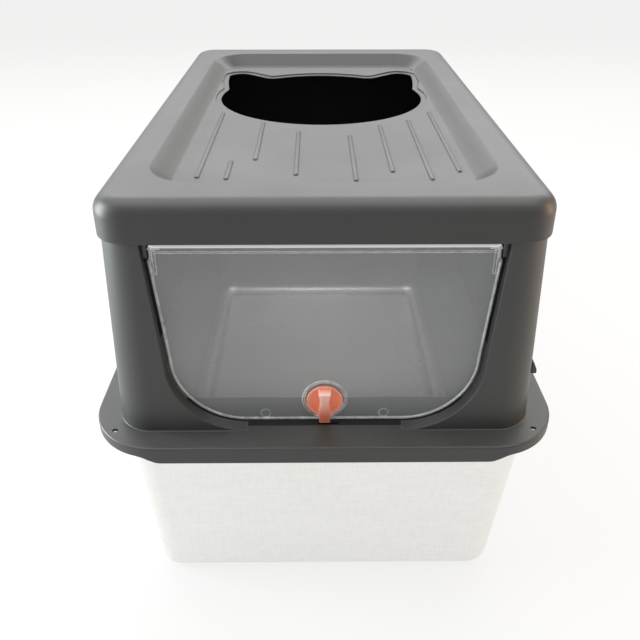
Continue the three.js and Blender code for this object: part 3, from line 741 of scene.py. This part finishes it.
flap_profile = soften([
    (SHAFT_HOLE, flap_back, 0.3), (SHAFT_HOLE, flap_front, 0.4), (COLLAR_IN, flap_front, 0.4),
    (COLLAR_IN, flap_front - COLLAR_HIGH, 0.5), (COLLAR_OUT, flap_front - COLLAR_HIGH, 0.5),
    (COLLAR_OUT, flap_front, 0.5), (COLLAR_OUT + 1, flap_front, 0),
], closed=False, steps=4)
flap_loops = [flap_loop(ring_at(r, outer_line), y) for r, y in flap_profile]
border = soften([
    (BORDER_WIDE + 3, flap_front, 0), (BORDER_WIDE + 0.5, flap_front, 0.5),
    (BORDER_WIDE, flap_front - BORDER_HIGH, 0.5), (0, flap_front - BORDER_HIGH, 0.8),
    (0, flap_back, 0.5), (3, flap_back, 0),
], closed=False, steps=4)
flap_loops += [flap_loop(flap_outline(inset), y) for inset, y in border]
flap = build("clear_flap", skin(flap_loops))


def bar(axis, start, end, half_a, half_b, radius, centre, ends=0.6):
    """A rod with a rounded-rectangle section along an axis, its ends eased by quarter rounds."""
    section = stadium(half_a, half_b, radius, 40)
    turn = np.linspace(0, math.pi / 2, 5)
    rows = []
    inset = list(ends * (1 - np.sin(turn))) + list(ends * (1 - np.cos(turn)))
    at = list(start + ends * (1 - np.cos(turn))) + list(end - ends * (1 - np.sin(turn)))
    for off, place in zip(inset, at):
        shrunk = section * (1 - off / np.array([half_a, half_b]))
        rows.append(np.insert(shrunk + centre, axis, place, axis=1))
    return skin(rows, ring=False)


BEAD_HALF, BEAD_END = 3.5, 2.8
RIB_FROM_EDGE, RIB_LONG, RIB_THIN = 3.0, 24.0, 0.9
MARK_X, MARK_Z, MARK_R = 52.0, 205.2, 4.2
parts = [bar(0, BEAD_END - flap_top_half, flap_top_half - BEAD_END, BEAD_HALF, BEAD_HALF, 1.6,
             [flap_mid, hinge_z])]
for side in (-1, 1):
    parts.append(bar(2, hinge_z - RIB_LONG, hinge_z, RIB_THIN, 1.9, 0.7,
                     [side * (flap_top_half - RIB_FROM_EDGE), flap_mid + 1.2]))


def disc_mark(x, z, radius, high, width, count=48):
    """A thin moulded ring: a low round section carried about an axis along Y."""
    angle = np.linspace(0, 2 * math.pi, count, endpoint=False)
    turn = np.linspace(0, 2 * math.pi, 10, endpoint=False)
    rows = []
    for t in turn:
        r = radius + width / 2 * math.cos(t)
        y = flap_front - high * math.sin(t)
        rows.append(np.stack([x + r * np.cos(angle), 0 * angle + y, z + r * np.sin(angle)], 1))
    return skin(rows)


beads = build("flap_bead", join(*parts))
combine(flap, beads, "UNION")
marks = build("flap_marks", join(*[disc_mark(sx * MARK_X, MARK_Z, MARK_R, 0.12, 0.9)
                                   for sx in (-1, 1)]))
combine(flap, marks, "UNION")
settle_normals(flap)
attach(flap, "flap")
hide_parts("entry_flap")
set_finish(flap, "flap_clear")

# %% [markdown]
# ## The lock knob
# The knob is a coral disc with a waisted grip across it. Turned down, the grip's tail stands
# over a slot in the flange and keeps the flap shut. The disc is a profile turned about its
# axis. The grip is a stack of rounded sections up its length, each with its own width and
# its own front, which gives the waist, the slope and the blunt top in one surface.

# %% Knob disc
KNOB_R, KNOB_T = 15.8, 2.2
knob_back = flap_front - KNOB_STAND
knob_face = knob_back - KNOB_T


def turned(profile, count=96):
    """A profile of (radius, y) turned about the knob's axis."""
    angle = np.linspace(0, 2 * math.pi, count, endpoint=False)
    return [np.stack([r * np.cos(angle), 0 * angle + y, knob_axis + r * np.sin(angle)], 1)
            for r, y in profile]


disc_profile = soften([
    (0.05, knob_back, 0), (KNOB_R, knob_back, 0.4), (KNOB_R, knob_face, 0.9),
    (KNOB_R - 1.7, knob_face, 0.6), (KNOB_R - 2.3, knob_face + 0.45, 0.6),
    (0.05, knob_face + 0.45, 0),
], closed=False, steps=6)
knob = build("coral_knob", skin(turned(disc_profile), ring=False))

# %% Knob grip, tail and shaft
GRIP_TOP, GRIP_HIGH, GRIP_CREST = 15.0, 7.5, 12.0
TAIL_T, TAIL_CLEAR = 1.9, 1.0
GRIP_LEAN = math.tan(0.22)
tail_z = FLANGE_Z + TAIL_CLEAR - knob_axis
GRIP_KEYS = [  # height above the axis, half width
    (tail_z, 4.75), (-18.0, 4.95), (-12.5, 5.3), (-8.0, 5.1), (-2.5, 4.15), (2.0, 3.9),
    (6.5, 4.3), (11.0, 5.25), (GRIP_TOP, 5.45),
]


def eased(keys, at):
    """A smooth curve through keys: cubic Hermite with each slope the mean of its two sides."""
    x, y = np.array(keys, float).T
    side = np.diff(y) / np.diff(x)
    slope = np.r_[side[0], (side[1:] + side[:-1]) / 2, side[-1]]
    slope[1:-1][side[1:] * side[:-1] <= 0] = 0
    k = np.clip(np.searchsorted(x, at) - 1, 0, len(x) - 2)
    h = x[k + 1] - x[k]
    t = (at - x[k]) / h
    return ((1 + 2 * t) * (1 - t) ** 2 * y[k] + t * (1 - t) ** 2 * h * slope[k]
            + t * t * (3 - 2 * t) * y[k + 1] + t * t * (t - 1) * h * slope[k + 1])


def grip_sections(around=48):
    """Sections of the grip from its tail to its top: width and front vary with height.

    The front stands out by GRIP_HIGH at the crest and leans back below it until it meets
    the tail's front. Above the crest it falls away as a steep, slightly hollow facet.
    """
    round_off = 0.6
    heights = np.concatenate([
        tail_z + round_off * (1 - np.cos(np.linspace(0, math.pi / 2, 7))),
        np.linspace(tail_z + round_off, GRIP_CREST, 60)[1:],
        np.linspace(GRIP_CREST, GRIP_TOP, 10)[1:],
    ])
    tail_front = knob_back - TAIL_T
    rows = []
    for z in heights:
        width = float(eased(GRIP_KEYS, z))
        if z < GRIP_CREST:
            front = min(knob_face - GRIP_HIGH + GRIP_LEAN * (GRIP_CREST - z), tail_front)
        else:
            share = (z - GRIP_CREST) / (GRIP_TOP - GRIP_CREST)
            front = knob_face - GRIP_HIGH * (1 - 0.72 * share ** 1.6)
        tucked = round_off - math.sqrt(max(0.0, round_off ** 2
                                           - max(0.0, tail_z + round_off - z) ** 2))
        half = (knob_back - front) / 2
        section = stadium(width - tucked, half - 0.5 * tucked, min(1.2, 0.5 * half), around)
        rows.append(np.column_stack([section[:, 0], section[:, 1] + (front + knob_back) / 2,
                                     np.full(around, knob_axis + z)]))
    return rows


shaft_end = knob_back + KNOB_STAND + FLAP_THICK + 0.3
grip = build("grip_solid", skin(grip_sections(), ring=False))
combine(knob, grip, "UNION")
shaft_profile = soften([
    (0.05, knob_back - 2, 0), (4.0, knob_back - 2, 0), (4.0, shaft_end, 0.4), (0.05, shaft_end, 0),
], closed=False)
shaft = build("shaft_solid", skin(turned(shaft_profile, 48), ring=False))
combine(knob, shaft, "UNION")
bore_depth = 5.5
bore_profile = [(0.05, shaft_end - bore_depth), (1.7, shaft_end - bore_depth),
                (1.7, shaft_end + 1), (0.05, shaft_end + 1)]
bore = build("bore_cutter", skin(turned(bore_profile, 32), ring=False))
combine(knob, bore, "DIFFERENCE")
settle_normals(knob, 38)
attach(knob, "knob")
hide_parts("lock_knob")
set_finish(knob, "knob_coral")

# %% [markdown]
# ## Small mouldings
# A wedge-shaped hook on the hood's side holds the litter scoop, and two hinge blocks in the
# doorway's top corners carry the flap's pins. Each is an outline pushed through a depth with
# its edges eased by quarter rounds, as a mould with a small radius gives.


# %% Slab helper
def slab(outline, axis, start, end, edge, steps=4):
    """An outline carried from start to end along an axis, drawn in by a quarter round."""
    turn = np.linspace(0, math.pi / 2, steps + 1)
    inset = list(edge * (1 - np.sin(turn))) + list(edge * (1 - np.cos(turn)))
    at = list(start + edge * (1 - np.cos(turn))) + list(end - edge * (1 - np.sin(turn)))
    rows = [np.insert(moved_out(outline, -i), axis, p, axis=1) for i, p in zip(inset, at)]
    return skin(rows, ring=False)


def rounded(points, radius, spacing=0.35):
    """A closed polygon with rounded corners and evenly spaced points."""
    line = soften([(a, b, radius) for a, b in points])
    line = np.concatenate([line, line[:1]])
    total = np.linalg.norm(np.diff(line, axis=0), axis=1).sum()
    return polyline(line, max(24, int(total / spacing)))[:-1]


# %% Scoop hook
HOOK_PEG = 5.0
hook_x, hook_y = hook_low[0] + HOOK_PEG, (hook_low[1] + hook_high[1]) / 2
hook_shape = rounded([(hook_x, hook_high[2]), (hook_x, hook_low[2]), (hook_high[0], hook_low[2]),
                      (hook_high[0], hook_low[2] + 4), (hook_x + 1.6, hook_high[2])], 0.7)
hook_sides = slab(hook_shape, 1, hook_low[1], hook_high[1], 0.7)
hook = build("side_hook", hook_sides)
peg = build("peg_solid", bar(0, hook_low[0], hook_x + 1, 1.6, 1.6, 1.58,
                             [hook_y, (hook_low[2] + hook_high[2]) / 2], 0.3))
combine(hook, peg, "UNION")
settle_normals(hook)
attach(hook, "hood")
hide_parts("scoop_hook")
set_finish(hook, "hood_plastic")

# %% Hinge blocks
for side_name in ("left", "right"):
    low, high = box_mm(f"hinge_block_{side_name}")
    outline = rounded([(high[1], low[2]), (high[1], high[2]), (low[1], high[2]),
                       (low[1], low[2])], 1.4, 0.25)
    block = build(f"hinge_lug_{side_name}", slab(outline, 0, low[0], high[0], 0.35))
    middle = [(low[1] + high[1]) / 2, hinge_z]
    eye = build("eye_cutter", bar(0, low[0] - 2, high[0] + 2, 1.8, 1.8, 1.79, middle, 0.1))
    combine(block, eye, "DIFFERENCE")
    settle_normals(block)
    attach(block, "hood")
    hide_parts(f"hinge_block_{side_name}")
    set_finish(block, "hood_plastic")

# %% [markdown]
# ## Finishes
# Five finishes are made from node groups that are built once. Moulded plastic has a fine
# spark-eroded grain from its mould, faint flow clouds in its gloss, paler edges that are partly
# wear and partly painted highlight, and a little dust on faces that look up. Drawn steel has a
# short cross-brushed grain. The groups hand over only masks and heights; each material decides
# what they do.

# %% Node helpers
def new_group(name, inputs, outputs):
    """An empty shader group with named value inputs (name, default) and named outputs."""
    group = bpy.data.node_groups.new(name, "ShaderNodeTree")
    for title, default in inputs:
        socket = group.interface.new_socket(title, in_out="INPUT", socket_type="NodeSocketFloat")
        socket.default_value = default
    for title in outputs:
        group.interface.new_socket(title, in_out="OUTPUT", socket_type="NodeSocketFloat")
    return group, group.nodes.new("NodeGroupInput"), group.nodes.new("NodeGroupOutput")


def feed(tree, socket, source):
    """Links a socket to another, or sets it to a plain value."""
    if isinstance(source, bpy.types.NodeSocket):
        tree.links.new(source, socket)
    else:
        socket.default_value = source


def sums(tree, operation, *sources, clamp=False):
    """A Math node's result."""
    node = tree.nodes.new("ShaderNodeMath")
    node.operation, node.use_clamp = operation, clamp
    for socket, source in zip(node.inputs, sources):
        feed(tree, socket, source)
    return node.outputs[0]


def noise(tree, scale, detail=2.0, rough=0.5, stretch=None, shift=(0, 0, 0)):
    """Noise in Object coordinates, with scale in cells per metre, stretched per axis."""
    place = tree.nodes.new("ShaderNodeTexCoord").outputs["Object"]
    if stretch is not None:
        mapping = tree.nodes.new("ShaderNodeMapping")
        tree.links.new(place, mapping.inputs["Vector"])
        mapping.inputs["Scale"].default_value = stretch
        mapping.inputs["Location"].default_value = shift
        place = mapping.outputs["Vector"]
    node = tree.nodes.new("ShaderNodeTexNoise")
    tree.links.new(place, node.inputs["Vector"])
    feed(tree, node.inputs["Scale"], scale)
    node.inputs["Detail"].default_value = detail
    node.inputs["Roughness"].default_value = rough
    return node.outputs["Fac"]


def spread(tree, value, low, high, to_low=0.0, to_high=1.0):
    """Maps a value from one range to another and holds it at the ends."""
    node = tree.nodes.new("ShaderNodeMapRange")
    for name, source in [("Value", value), ("From Min", low), ("From Max", high),
                         ("To Min", to_low), ("To Max", to_high)]:
        feed(tree, node.inputs[name], source)
    return node.outputs["Result"]


def blend_colour(tree, amount, first, second):
    """Mixes two colours by an amount."""
    node = tree.nodes.new("ShaderNodeMix")
    node.data_type = "RGBA"
    feed(tree, node.inputs[0], amount)
    feed(tree, node.inputs[6], first)
    feed(tree, node.inputs[7], second)
    return node.outputs[2]


# %% Mould grain group
grain_group, g_in, g_out = new_group(
    "mould_grain", [("Cells", 900.0), ("Cloud cells", 9.0)], ["Height", "Cloud"])
fine = noise(grain_group, g_in.outputs["Cells"], 3.0, 0.6)
grain_group.links.new(fine, g_out.inputs["Height"])
cloud = noise(grain_group, g_in.outputs["Cloud cells"], 3.0, 0.55)
grain_group.links.new(spread(grain_group, cloud, 0.3, 0.7), g_out.inputs["Cloud"])

# %% Edge wear and painted highlight group
wear_and_highlight_group, w_in, w_out = new_group("edge_wear_and_highlight", [("Reach", 0.0012), ("Amount", 1.0)], ["Mask"])
bevel = wear_and_highlight_group.nodes.new("ShaderNodeBevel")
bevel.samples = 4
wear_and_highlight_group.links.new(w_in.outputs["Reach"], bevel.inputs["Radius"])
true_normal = wear_and_highlight_group.nodes.new("ShaderNodeNewGeometry").outputs["Normal"]
facing = wear_and_highlight_group.nodes.new("ShaderNodeVectorMath")
facing.operation = "DOT_PRODUCT"
wear_and_highlight_group.links.new(bevel.outputs["Normal"], facing.inputs[0])
wear_and_highlight_group.links.new(true_normal, facing.inputs[1])
turned_away = spread(wear_and_highlight_group, facing.outputs["Value"], 0.99, 0.80)
broken = spread(wear_and_highlight_group, noise(wear_and_highlight_group, 160.0, 3.0, 0.6), 0.35, 0.65, 0.35, 1.0)
# Edges come out paler: partly wear, partly a painted highlight.
worn_and_lit = sums(wear_and_highlight_group, "MULTIPLY", turned_away, broken)
wear_and_highlight_group.links.new(sums(wear_and_highlight_group, "MULTIPLY", worn_and_lit, w_in.outputs["Amount"], clamp=True),
                     w_out.inputs["Mask"])

# %% Settled dust group
dust_group, d_in, d_out = new_group("settled_dust", [("Amount", 1.0)], ["Mask"])
split = dust_group.nodes.new("ShaderNodeSeparateXYZ")
dust_group.links.new(dust_group.nodes.new("ShaderNodeNewGeometry").outputs["Normal"],
                     split.inputs[0])
upward = spread(dust_group, split.outputs["Z"], 0.75, 1.0)
patches = spread(dust_group, noise(dust_group, 26.0, 5.0, 0.65), 0.42, 0.72)
specks = spread(dust_group, noise(dust_group, 700.0, 2.0, 0.6), 0.52, 0.7)
lying = sums(dust_group, "MULTIPLY", upward, sums(dust_group, "MULTIPLY", patches, specks))
dust_group.links.new(sums(dust_group, "MULTIPLY", lying, d_in.outputs["Amount"], clamp=True),
                     d_out.inputs["Mask"])

# %% [markdown]
# ## Masks by place
# Two more groups say where a point is. One finds the sides that face the middle of the box,
# where the way out from the middle and the surface's normal point opposite ways. The other
# fades from 0 to 1 between two heights, two depths or two distances from the middle. They
# pick out the box's inside, which gets painted shade, and the bead and the grip, which get
# painted highlights. Those colours are painted light and shade, not something known about the
# real plastic and steel.

# %% Turned inward group
inward_group, i_in, i_out = new_group("turned_inward", [("Reach", 0.004)], ["Mask"])
place = inward_group.nodes.new("ShaderNodeTexCoord").outputs["Object"]
flat_place = inward_group.nodes.new("ShaderNodeVectorMath")
flat_place.operation = "MULTIPLY"
flat_place.inputs[1].default_value = (1, 1, 0)
inward_group.links.new(place, flat_place.inputs[0])
against = inward_group.nodes.new("ShaderNodeVectorMath")
against.operation = "DOT_PRODUCT"
inward_group.links.new(flat_place.outputs["Vector"], against.inputs[0])
inward_group.links.new(inward_group.nodes.new("ShaderNodeNewGeometry").outputs["Normal"],
                       against.inputs[1])
toward = sums(inward_group, "MULTIPLY", against.outputs["Value"], -1.0)
inward_group.links.new(spread(inward_group, toward, 0.0, i_in.outputs["Reach"]),
                       i_out.inputs["Mask"])

# %% Band group
band_group, n_in, n_out = new_group(
    "band", [("From", 0.0), ("To", 1.0)], ["Up", "Back", "Aside"])
where = band_group.nodes.new("ShaderNodeSeparateXYZ")
band_group.links.new(band_group.nodes.new("ShaderNodeTexCoord").outputs["Object"],
                     where.inputs[0])
from_middle = sums(band_group, "ABSOLUTE", where.outputs["X"])
for along_axis, title in [(where.outputs["Z"], "Up"), (where.outputs["Y"], "Back"),
                          (from_middle, "Aside")]:
    band_group.links.new(spread(band_group, along_axis, n_in.outputs["From"],
                                n_in.outputs["To"]), n_out.inputs[title])

# %% Brushed steel group
brush_group, b_in, b_out = new_group(
    "brushed_steel", [("Lines", 1.0), ("Crossed", 0.5)], ["Height", "Streak", "Weave"])
along = noise(brush_group, 1.0, 2.0, 0.6, stretch=(26, 26, 2600))
upright = noise(brush_group, 1.0, 2.0, 0.6, stretch=(1900, 1900, 30), shift=(3, 5, 7))
crossed = sums(brush_group, "MULTIPLY_ADD", upright, b_in.outputs["Crossed"], along)
brush_group.links.new(sums(brush_group, "MULTIPLY", crossed, b_in.outputs["Lines"]),
                      b_out.inputs["Height"])
warp = noise(brush_group, 1.0, 1.0, 0.5, stretch=(420, 420, 60), shift=(1, 2, 3))
weft = noise(brush_group, 1.0, 1.0, 0.5, stretch=(60, 60, 420))
brush_group.links.new(spread(brush_group, sums(brush_group, "ADD", warp, weft), 0.85, 1.3),
                      b_out.inputs["Weave"])
soft_marks = noise(brush_group, 1.0, 3.0, 0.55, stretch=(9, 9, 60))
brush_group.links.new(spread(brush_group, soft_marks, 0.3, 0.7), b_out.inputs["Streak"])
print("groups:", [g.name for g in bpy.data.node_groups])


# %% Material base
def new_material(name, roughness, ior=1.46, specular=0.5, metallic=0.0, coat=0.0, coat_rough=0.1):
    """A Principled material with its plain constants set on its own sockets."""
    material = bpy.data.materials.new(name)
    material.use_nodes = True
    shader = material.node_tree.nodes["Principled BSDF"]
    values = {"Roughness": roughness, "IOR": ior, "Specular IOR Level": specular,
              "Metallic": metallic, "Coat Weight": coat, "Coat Roughness": coat_rough}
    for title, value in values.items():
        shader.inputs[title].default_value = value
    return material, material.node_tree, shader


def use_group(tree, group, **values):
    """A node that uses a group, with its inputs set."""
    node = tree.nodes.new("ShaderNodeGroup")
    node.node_tree = group
    for title, value in values.items():
        node.inputs[title.replace("_", " ")].default_value = value
    return node


def bump(tree, shader, height, distance, strength=1.0):
    """Feeds a height in metres times distance to the shader's normal."""
    node = tree.nodes.new("ShaderNodeBump")
    node.inputs["Strength"].default_value = strength
    node.inputs["Distance"].default_value = distance
    tree.links.new(height, node.inputs["Height"])
    tree.links.new(node.outputs["Normal"], shader.inputs["Normal"])


def plastic(name, colour, worn_and_lit_colour, roughness, cells=900.0, grain=0.00004, wear_and_highlight=0.5, dust=0.3,
            spread_rough=0.08, specular=0.5, inner=None, reach=0.0012):
    """Moulded plastic: clouded tint and gloss, pale edges that are partly wear and partly painted
    highlight, dust and a fine grain.

    With an inner colour, painted shade, the sides that face the middle of the box, behind the
    jambs, take it and lose their gloss and grain. So does the sill's top, shaded behind the flap.
    """
    material, tree, shader = new_material(name, roughness, specular=specular)
    skin_marks = use_group(tree, grain_group, Cells=cells)
    edges = use_group(tree, wear_and_highlight_group, Reach=reach, Amount=wear_and_highlight)
    settled = use_group(tree, dust_group, Amount=dust)
    deep = [c * 0.88 for c in colour[:3]] + [1]
    tint = blend_colour(tree, skin_marks.outputs["Cloud"], deep, colour)
    # Paler edges: partly wear, partly a painted highlight.
    tint = blend_colour(tree, edges.outputs["Mask"], tint, worn_and_lit_colour)
    tint = blend_colour(tree, settled.outputs["Mask"], tint, DUST)
    rough = spread(tree, skin_marks.outputs["Cloud"], 0, 1, roughness - spread_rough / 2,
                   roughness + spread_rough / 2)
    rough = sums(tree, "MULTIPLY_ADD", settled.outputs["Mask"], 0.3, rough)
    if inner is not None:
        behind_jamb = use_group(tree, band_group, From=(front_wall + JAMB_DEPTH - 1) * METRES,
                                To=(front_wall + JAMB_DEPTH + 2) * METRES).outputs["Back"]
        under_flap = use_group(tree, band_group, From=(front_wall + 1.0) * METRES,
                               To=(front_wall + 1.5) * METRES).outputs["Back"]
        on_sill = use_group(tree, band_group, From=(FLANGE_Z + 0.4) * METRES,
                            To=(FLANGE_Z + 0.1) * METRES).outputs["Up"]
        on_sill = sums(tree, "MULTIPLY", on_sill, use_group(
            tree, band_group, From=(foot_x - 30) * METRES,
            To=(foot_x - 34) * METRES).outputs["Aside"])
        inward = sums(tree, "MULTIPLY", use_group(tree, inward_group).outputs["Mask"],
                      behind_jamb)
        inward = sums(tree, "MAXIMUM", inward, sums(tree, "MULTIPLY", under_flap, on_sill))
        # Painted shade: the inside and the sill behind the flap are tinted near black where shadow
        # falls.
        tint = blend_colour(tree, inward, tint, inner)
        rough = sums(tree, "MULTIPLY_ADD", inward, 0.4, rough, clamp=True)
    tree.links.new(tint, shader.inputs["Base Color"])
    tree.links.new(rough, shader.inputs["Roughness"])
    height = skin_marks.outputs["Height"]
    if inner is not None:
        height = sums(tree, "MULTIPLY", height, sums(tree, "SUBTRACT", 1.0, inward))
    bump(tree, shader, height, grain)
    return material


# %% Plastics
DUST = (0.42, 0.41, 0.39, 1)
CHARCOAL = (0.046, 0.047, 0.045, 1)
# Painted shade for the hood's inside and the sill behind the flap, where shadow falls.
CHARCOAL_PAINTED_SHADE = (0.010, 0.010, 0.011, 1)
# Pale edge colours: partly wear, partly a painted highlight.
CHARCOAL_WORN_AND_LIT = (0.15, 0.155, 0.15, 1)
CORAL = (0.95, 0.26, 0.14, 1)
CORAL_PAINTED_SHEEN = (0.94, 0.60, 0.51, 1)
CORAL_WORN_AND_LIT = (0.95, 0.66, 0.58, 1)
hood_finish = plastic("charcoal_hood", CHARCOAL, CHARCOAL_WORN_AND_LIT, 0.44, wear_and_highlight=0.9, dust=0.1,
                      grain=0.000015, inner=CHARCOAL_PAINTED_SHADE)
lid_finish = plastic("charcoal_lid", CHARCOAL, CHARCOAL_WORN_AND_LIT, 0.42, wear_and_highlight=0.9, dust=0.08,
                     grain=0.00002, specular=0.40)
# The coral's wide pale edges are partly wear and partly a painted rim highlight.
coral_finish = plastic("coral_plastic", CORAL, CORAL_WORN_AND_LIT, 0.30, cells=1500.0, grain=0.00002,
                       wear_and_highlight=1.0, dust=0.0, reach=0.0022)

# %% Knob grip painted pale at its front
# The front of the grip is painted paler than the disc behind it: a painted highlight.
tree = coral_finish.node_tree
shader = tree.nodes["Principled BSDF"]
painted_sheen_band = use_group(tree, band_group, From=(knob_face - 1.5) * METRES,
                   To=(knob_face - GRIP_HIGH + 1.5) * METRES)
patchy = spread(tree, noise(tree, 260.0, 2.0, 0.5), 0.3, 0.7, 0.75, 1.0)
# Painted highlight over the front of the grip.
amount = sums(tree, "MULTIPLY", painted_sheen_band.outputs["Back"], patchy)
under = shader.inputs["Base Color"].links[0].from_socket
tree.links.new(blend_colour(tree, amount, under, CORAL_PAINTED_SHEEN), shader.inputs["Base Color"])

# %% Frosted flap
# The clear sheet lets light straight through, with a milky veil of its own. Its edges and the
# bead's top get a painted highlight: a paler colour and emission on a mask, so those parts
# shine a little even in the dark.
clear_finish, tree, shader = new_material("frosted_clear", 0.3, ior=1.49, specular=0.9)
shader.inputs["Emission Strength"].default_value = 1.0
skin_marks = use_group(tree, grain_group, Cells=1300.0, Cloud_cells=6.0)
edges = use_group(tree, wear_and_highlight_group, Reach=0.0015, Amount=1.2)
bead_top = use_group(tree, band_group, From=(flap_top - 1.9) * METRES,
                     To=(flap_top - 1.2) * METRES)
milk = blend_colour(tree, skin_marks.outputs["Cloud"], (0.42, 0.425, 0.425, 1),
                    (0.49, 0.495, 0.495, 1))
tree.links.new(blend_colour(tree, edges.outputs["Mask"], milk, (0.85, 0.87, 0.87, 1)),
               shader.inputs["Base Color"])
# Painted highlight: the edges and the bead's top go paler and give off light.
painted_highlight = sums(tree, "MAXIMUM", sums(tree, "MULTIPLY", edges.outputs["Mask"], 0.8),
           bead_top.outputs["Up"])
tree.links.new(blend_colour(tree, painted_highlight, (0, 0, 0, 1), (0.52, 0.53, 0.53, 1)),
               shader.inputs["Emission Color"])
tree.links.new(spread(tree, painted_highlight, 0, 0.35, 0.33, 0.75), shader.inputs["Alpha"])
tree.links.new(spread(tree, skin_marks.outputs["Cloud"], 0, 1, 0.24, 0.34),
               shader.inputs["Roughness"])
bump(tree, shader, skin_marks.outputs["Height"], 0.00002)

# %% Steel finishes
# The pan's sheet is cross-brushed to a satin; the screw and pins are plain bright steel.
def steel(name, colour, shade, roughness, grain, crossed, inner=None):
    """Metal with a brushed height, streaked colour and streaked gloss.

    With an inner colour, the sides that face the middle are painted darker as shade, and a painted
    glint brightens their low folds.
    """
    material, tree, shader = new_material(name, roughness, metallic=1.0)
    brushed = use_group(tree, brush_group, Crossed=crossed)
    edges = use_group(tree, wear_and_highlight_group, Amount=0.3)
    tint = blend_colour(tree, brushed.outputs["Streak"], shade, colour)
    tint = blend_colour(tree, brushed.outputs["Weave"], tint, [c * 0.965 for c in shade[:3]] + [1])
    if inner is not None:
        # Painted glint along the low folds, over painted shade on the sides that face the middle.
        folds = use_group(tree, wear_and_highlight_group, Reach=0.012, Amount=2.0)
        low = use_group(tree, band_group, From=0.016, To=0.008)
        painted_glint = sums(tree, "MULTIPLY", folds.outputs["Mask"], low.outputs["Up"], clamp=True)
        painted_shade_tint = blend_colour(tree, painted_glint, inner, (1, 1, 1, 1))
        tint = blend_colour(tree, use_group(tree, inward_group).outputs["Mask"], tint, painted_shade_tint)
    # Paler edges: partly wear, partly a painted highlight.
    tint = blend_colour(tree, edges.outputs["Mask"], tint, (0.95, 0.94, 0.92, 1))
    tree.links.new(tint, shader.inputs["Base Color"])
    tree.links.new(spread(tree, brushed.outputs["Streak"], 0, 1, roughness + 0.015,
                          roughness - 0.015), shader.inputs["Roughness"])
    bump(tree, shader, brushed.outputs["Height"], grain)
    return material


# Inside the pan the steel is painted darker as shade, with a painted glint at its low folds.
pan_finish = steel("satin_pan_steel", (0.87, 0.865, 0.845, 1), (0.855, 0.85, 0.83, 1), 0.44,
                   0.00001, 0.8, inner=(0.34, 0.34, 0.335, 1))
hardware_finish = steel("hardware_steel", (0.70, 0.69, 0.67, 1), (0.60, 0.59, 0.58, 1), 0.28,
                        0.000006, 0.2)

# %% Put the finishes on
FINISHES = {"pan_steel": pan_finish, "hood_plastic": hood_finish, "lid_plastic": lid_finish,
            "flap_clear": clear_finish, "knob_coral": coral_finish,
            "hardware_steel": hardware_finish}
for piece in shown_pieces():
    name = piece.get("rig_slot")
    if name:
        piece.data.materials.clear()
        piece.data.materials.append(FINISHES[name])
for node, finish in [("knob_washer", coral_finish), ("knob_screw", hardware_finish),
                     ("hinge_pin_left", hardware_finish), ("hinge_pin_right", hardware_finish)]:
    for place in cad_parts[node].material_slots:
        place.material = finish

# %% [markdown]
# ## Floor, camera and light
# The box stands on a wide pale floor under one big overhead softbox. The floor gives off
# most of its own brightness, so shadows on it are faint. A panel behind lights the lid by
# reflection, a cool strip grazes the left side and a weaker warm one the right, so the dark
# plastic keeps its form.

# %% Floor
floor_mesh = bpy.data.meshes.new("studio_floor")
reach = 40.0
floor_mesh.from_pydata([(-reach, -reach, 0), (reach, -reach, 0), (reach, reach, 0),
                        (-reach, reach, 0)], [], [(0, 1, 2, 3)])
floor = bpy.data.objects.new("studio_floor", floor_mesh)
bpy.context.scene.collection.objects.link(floor)
floor_finish, _, shader = new_material("pale_floor", 0.7, specular=0.2)
shader.inputs["Base Color"].default_value = (0.09, 0.09, 0.0895, 1)
shader.inputs["Emission Color"].default_value = (0.80, 0.80, 0.793, 1)
shader.inputs["Emission Strength"].default_value = 1.0
floor_mesh.materials.append(floor_finish)

# %% Camera
CAMERA_AT = (-0.0075, -0.7613, 0.6100)
CAMERA_DOWN, CAMERA_YAW = math.radians(27.5245), math.radians(0.41565)
LENS, SHIFT = 38.83, -0.1
camera_data = bpy.data.cameras.new("studio_camera")
camera_data.lens, camera_data.sensor_width, camera_data.shift_y = LENS, 36.0, SHIFT
camera_data.clip_start = 0.05
camera = bpy.data.objects.new("studio_camera", camera_data)
camera.location = CAMERA_AT
camera.rotation_euler = (math.pi / 2 - CAMERA_DOWN, 0, -CAMERA_YAW)
bpy.context.scene.collection.objects.link(camera)
bpy.context.scene.camera = camera


# %% Lights
def softbox(name, at, aim, size, radiance, colour=(1, 1, 1)):
    """A rectangular light at a place, aimed at a point, with an even brightness."""
    light = bpy.data.lights.new(name, "AREA")
    light.shape, light.size, light.size_y = "RECTANGLE", *size
    light.energy = radiance * math.pi * size[0] * size[1]
    light.color = colour
    holder = bpy.data.objects.new(name, light)
    holder.location = at
    holder.rotation_euler = (Vector(aim) - Vector(at)).to_track_quat("-Z", "Y").to_euler()
    bpy.context.scene.collection.objects.link(holder)
    holder.visible_camera = False


softbox("overhead", (0, -0.1, 1.5), (0, 0.0, 0.4), (1.9, 1.2), 3.2)
softbox("back_panel", (0, 1.7, 1.55), (0, 0, 0.4), (4.6, 1.1), 3.9)
softbox("left_strip", (-1.5, -0.15, 0.55), (0, 0, 0.25), (0.7, 1.1), 20.0, (0.92, 0.98, 1.0))
softbox("right_strip", (1.5, -0.2, 0.55), (0, 0, 0.25), (0.5, 1.0), 8.0, (1.0, 0.62, 0.30))
world = bpy.data.worlds.new("studio")
world.use_nodes = True
backdrop = world.node_tree.nodes["Background"]
backdrop.inputs["Color"].default_value = (0.97, 0.985, 1.0, 1)
backdrop.inputs["Strength"].default_value = 0.5
bpy.context.scene.world = world
bpy.context.scene.view_settings.view_transform = "Standard"
bpy.context.scene.view_settings.look = "None"
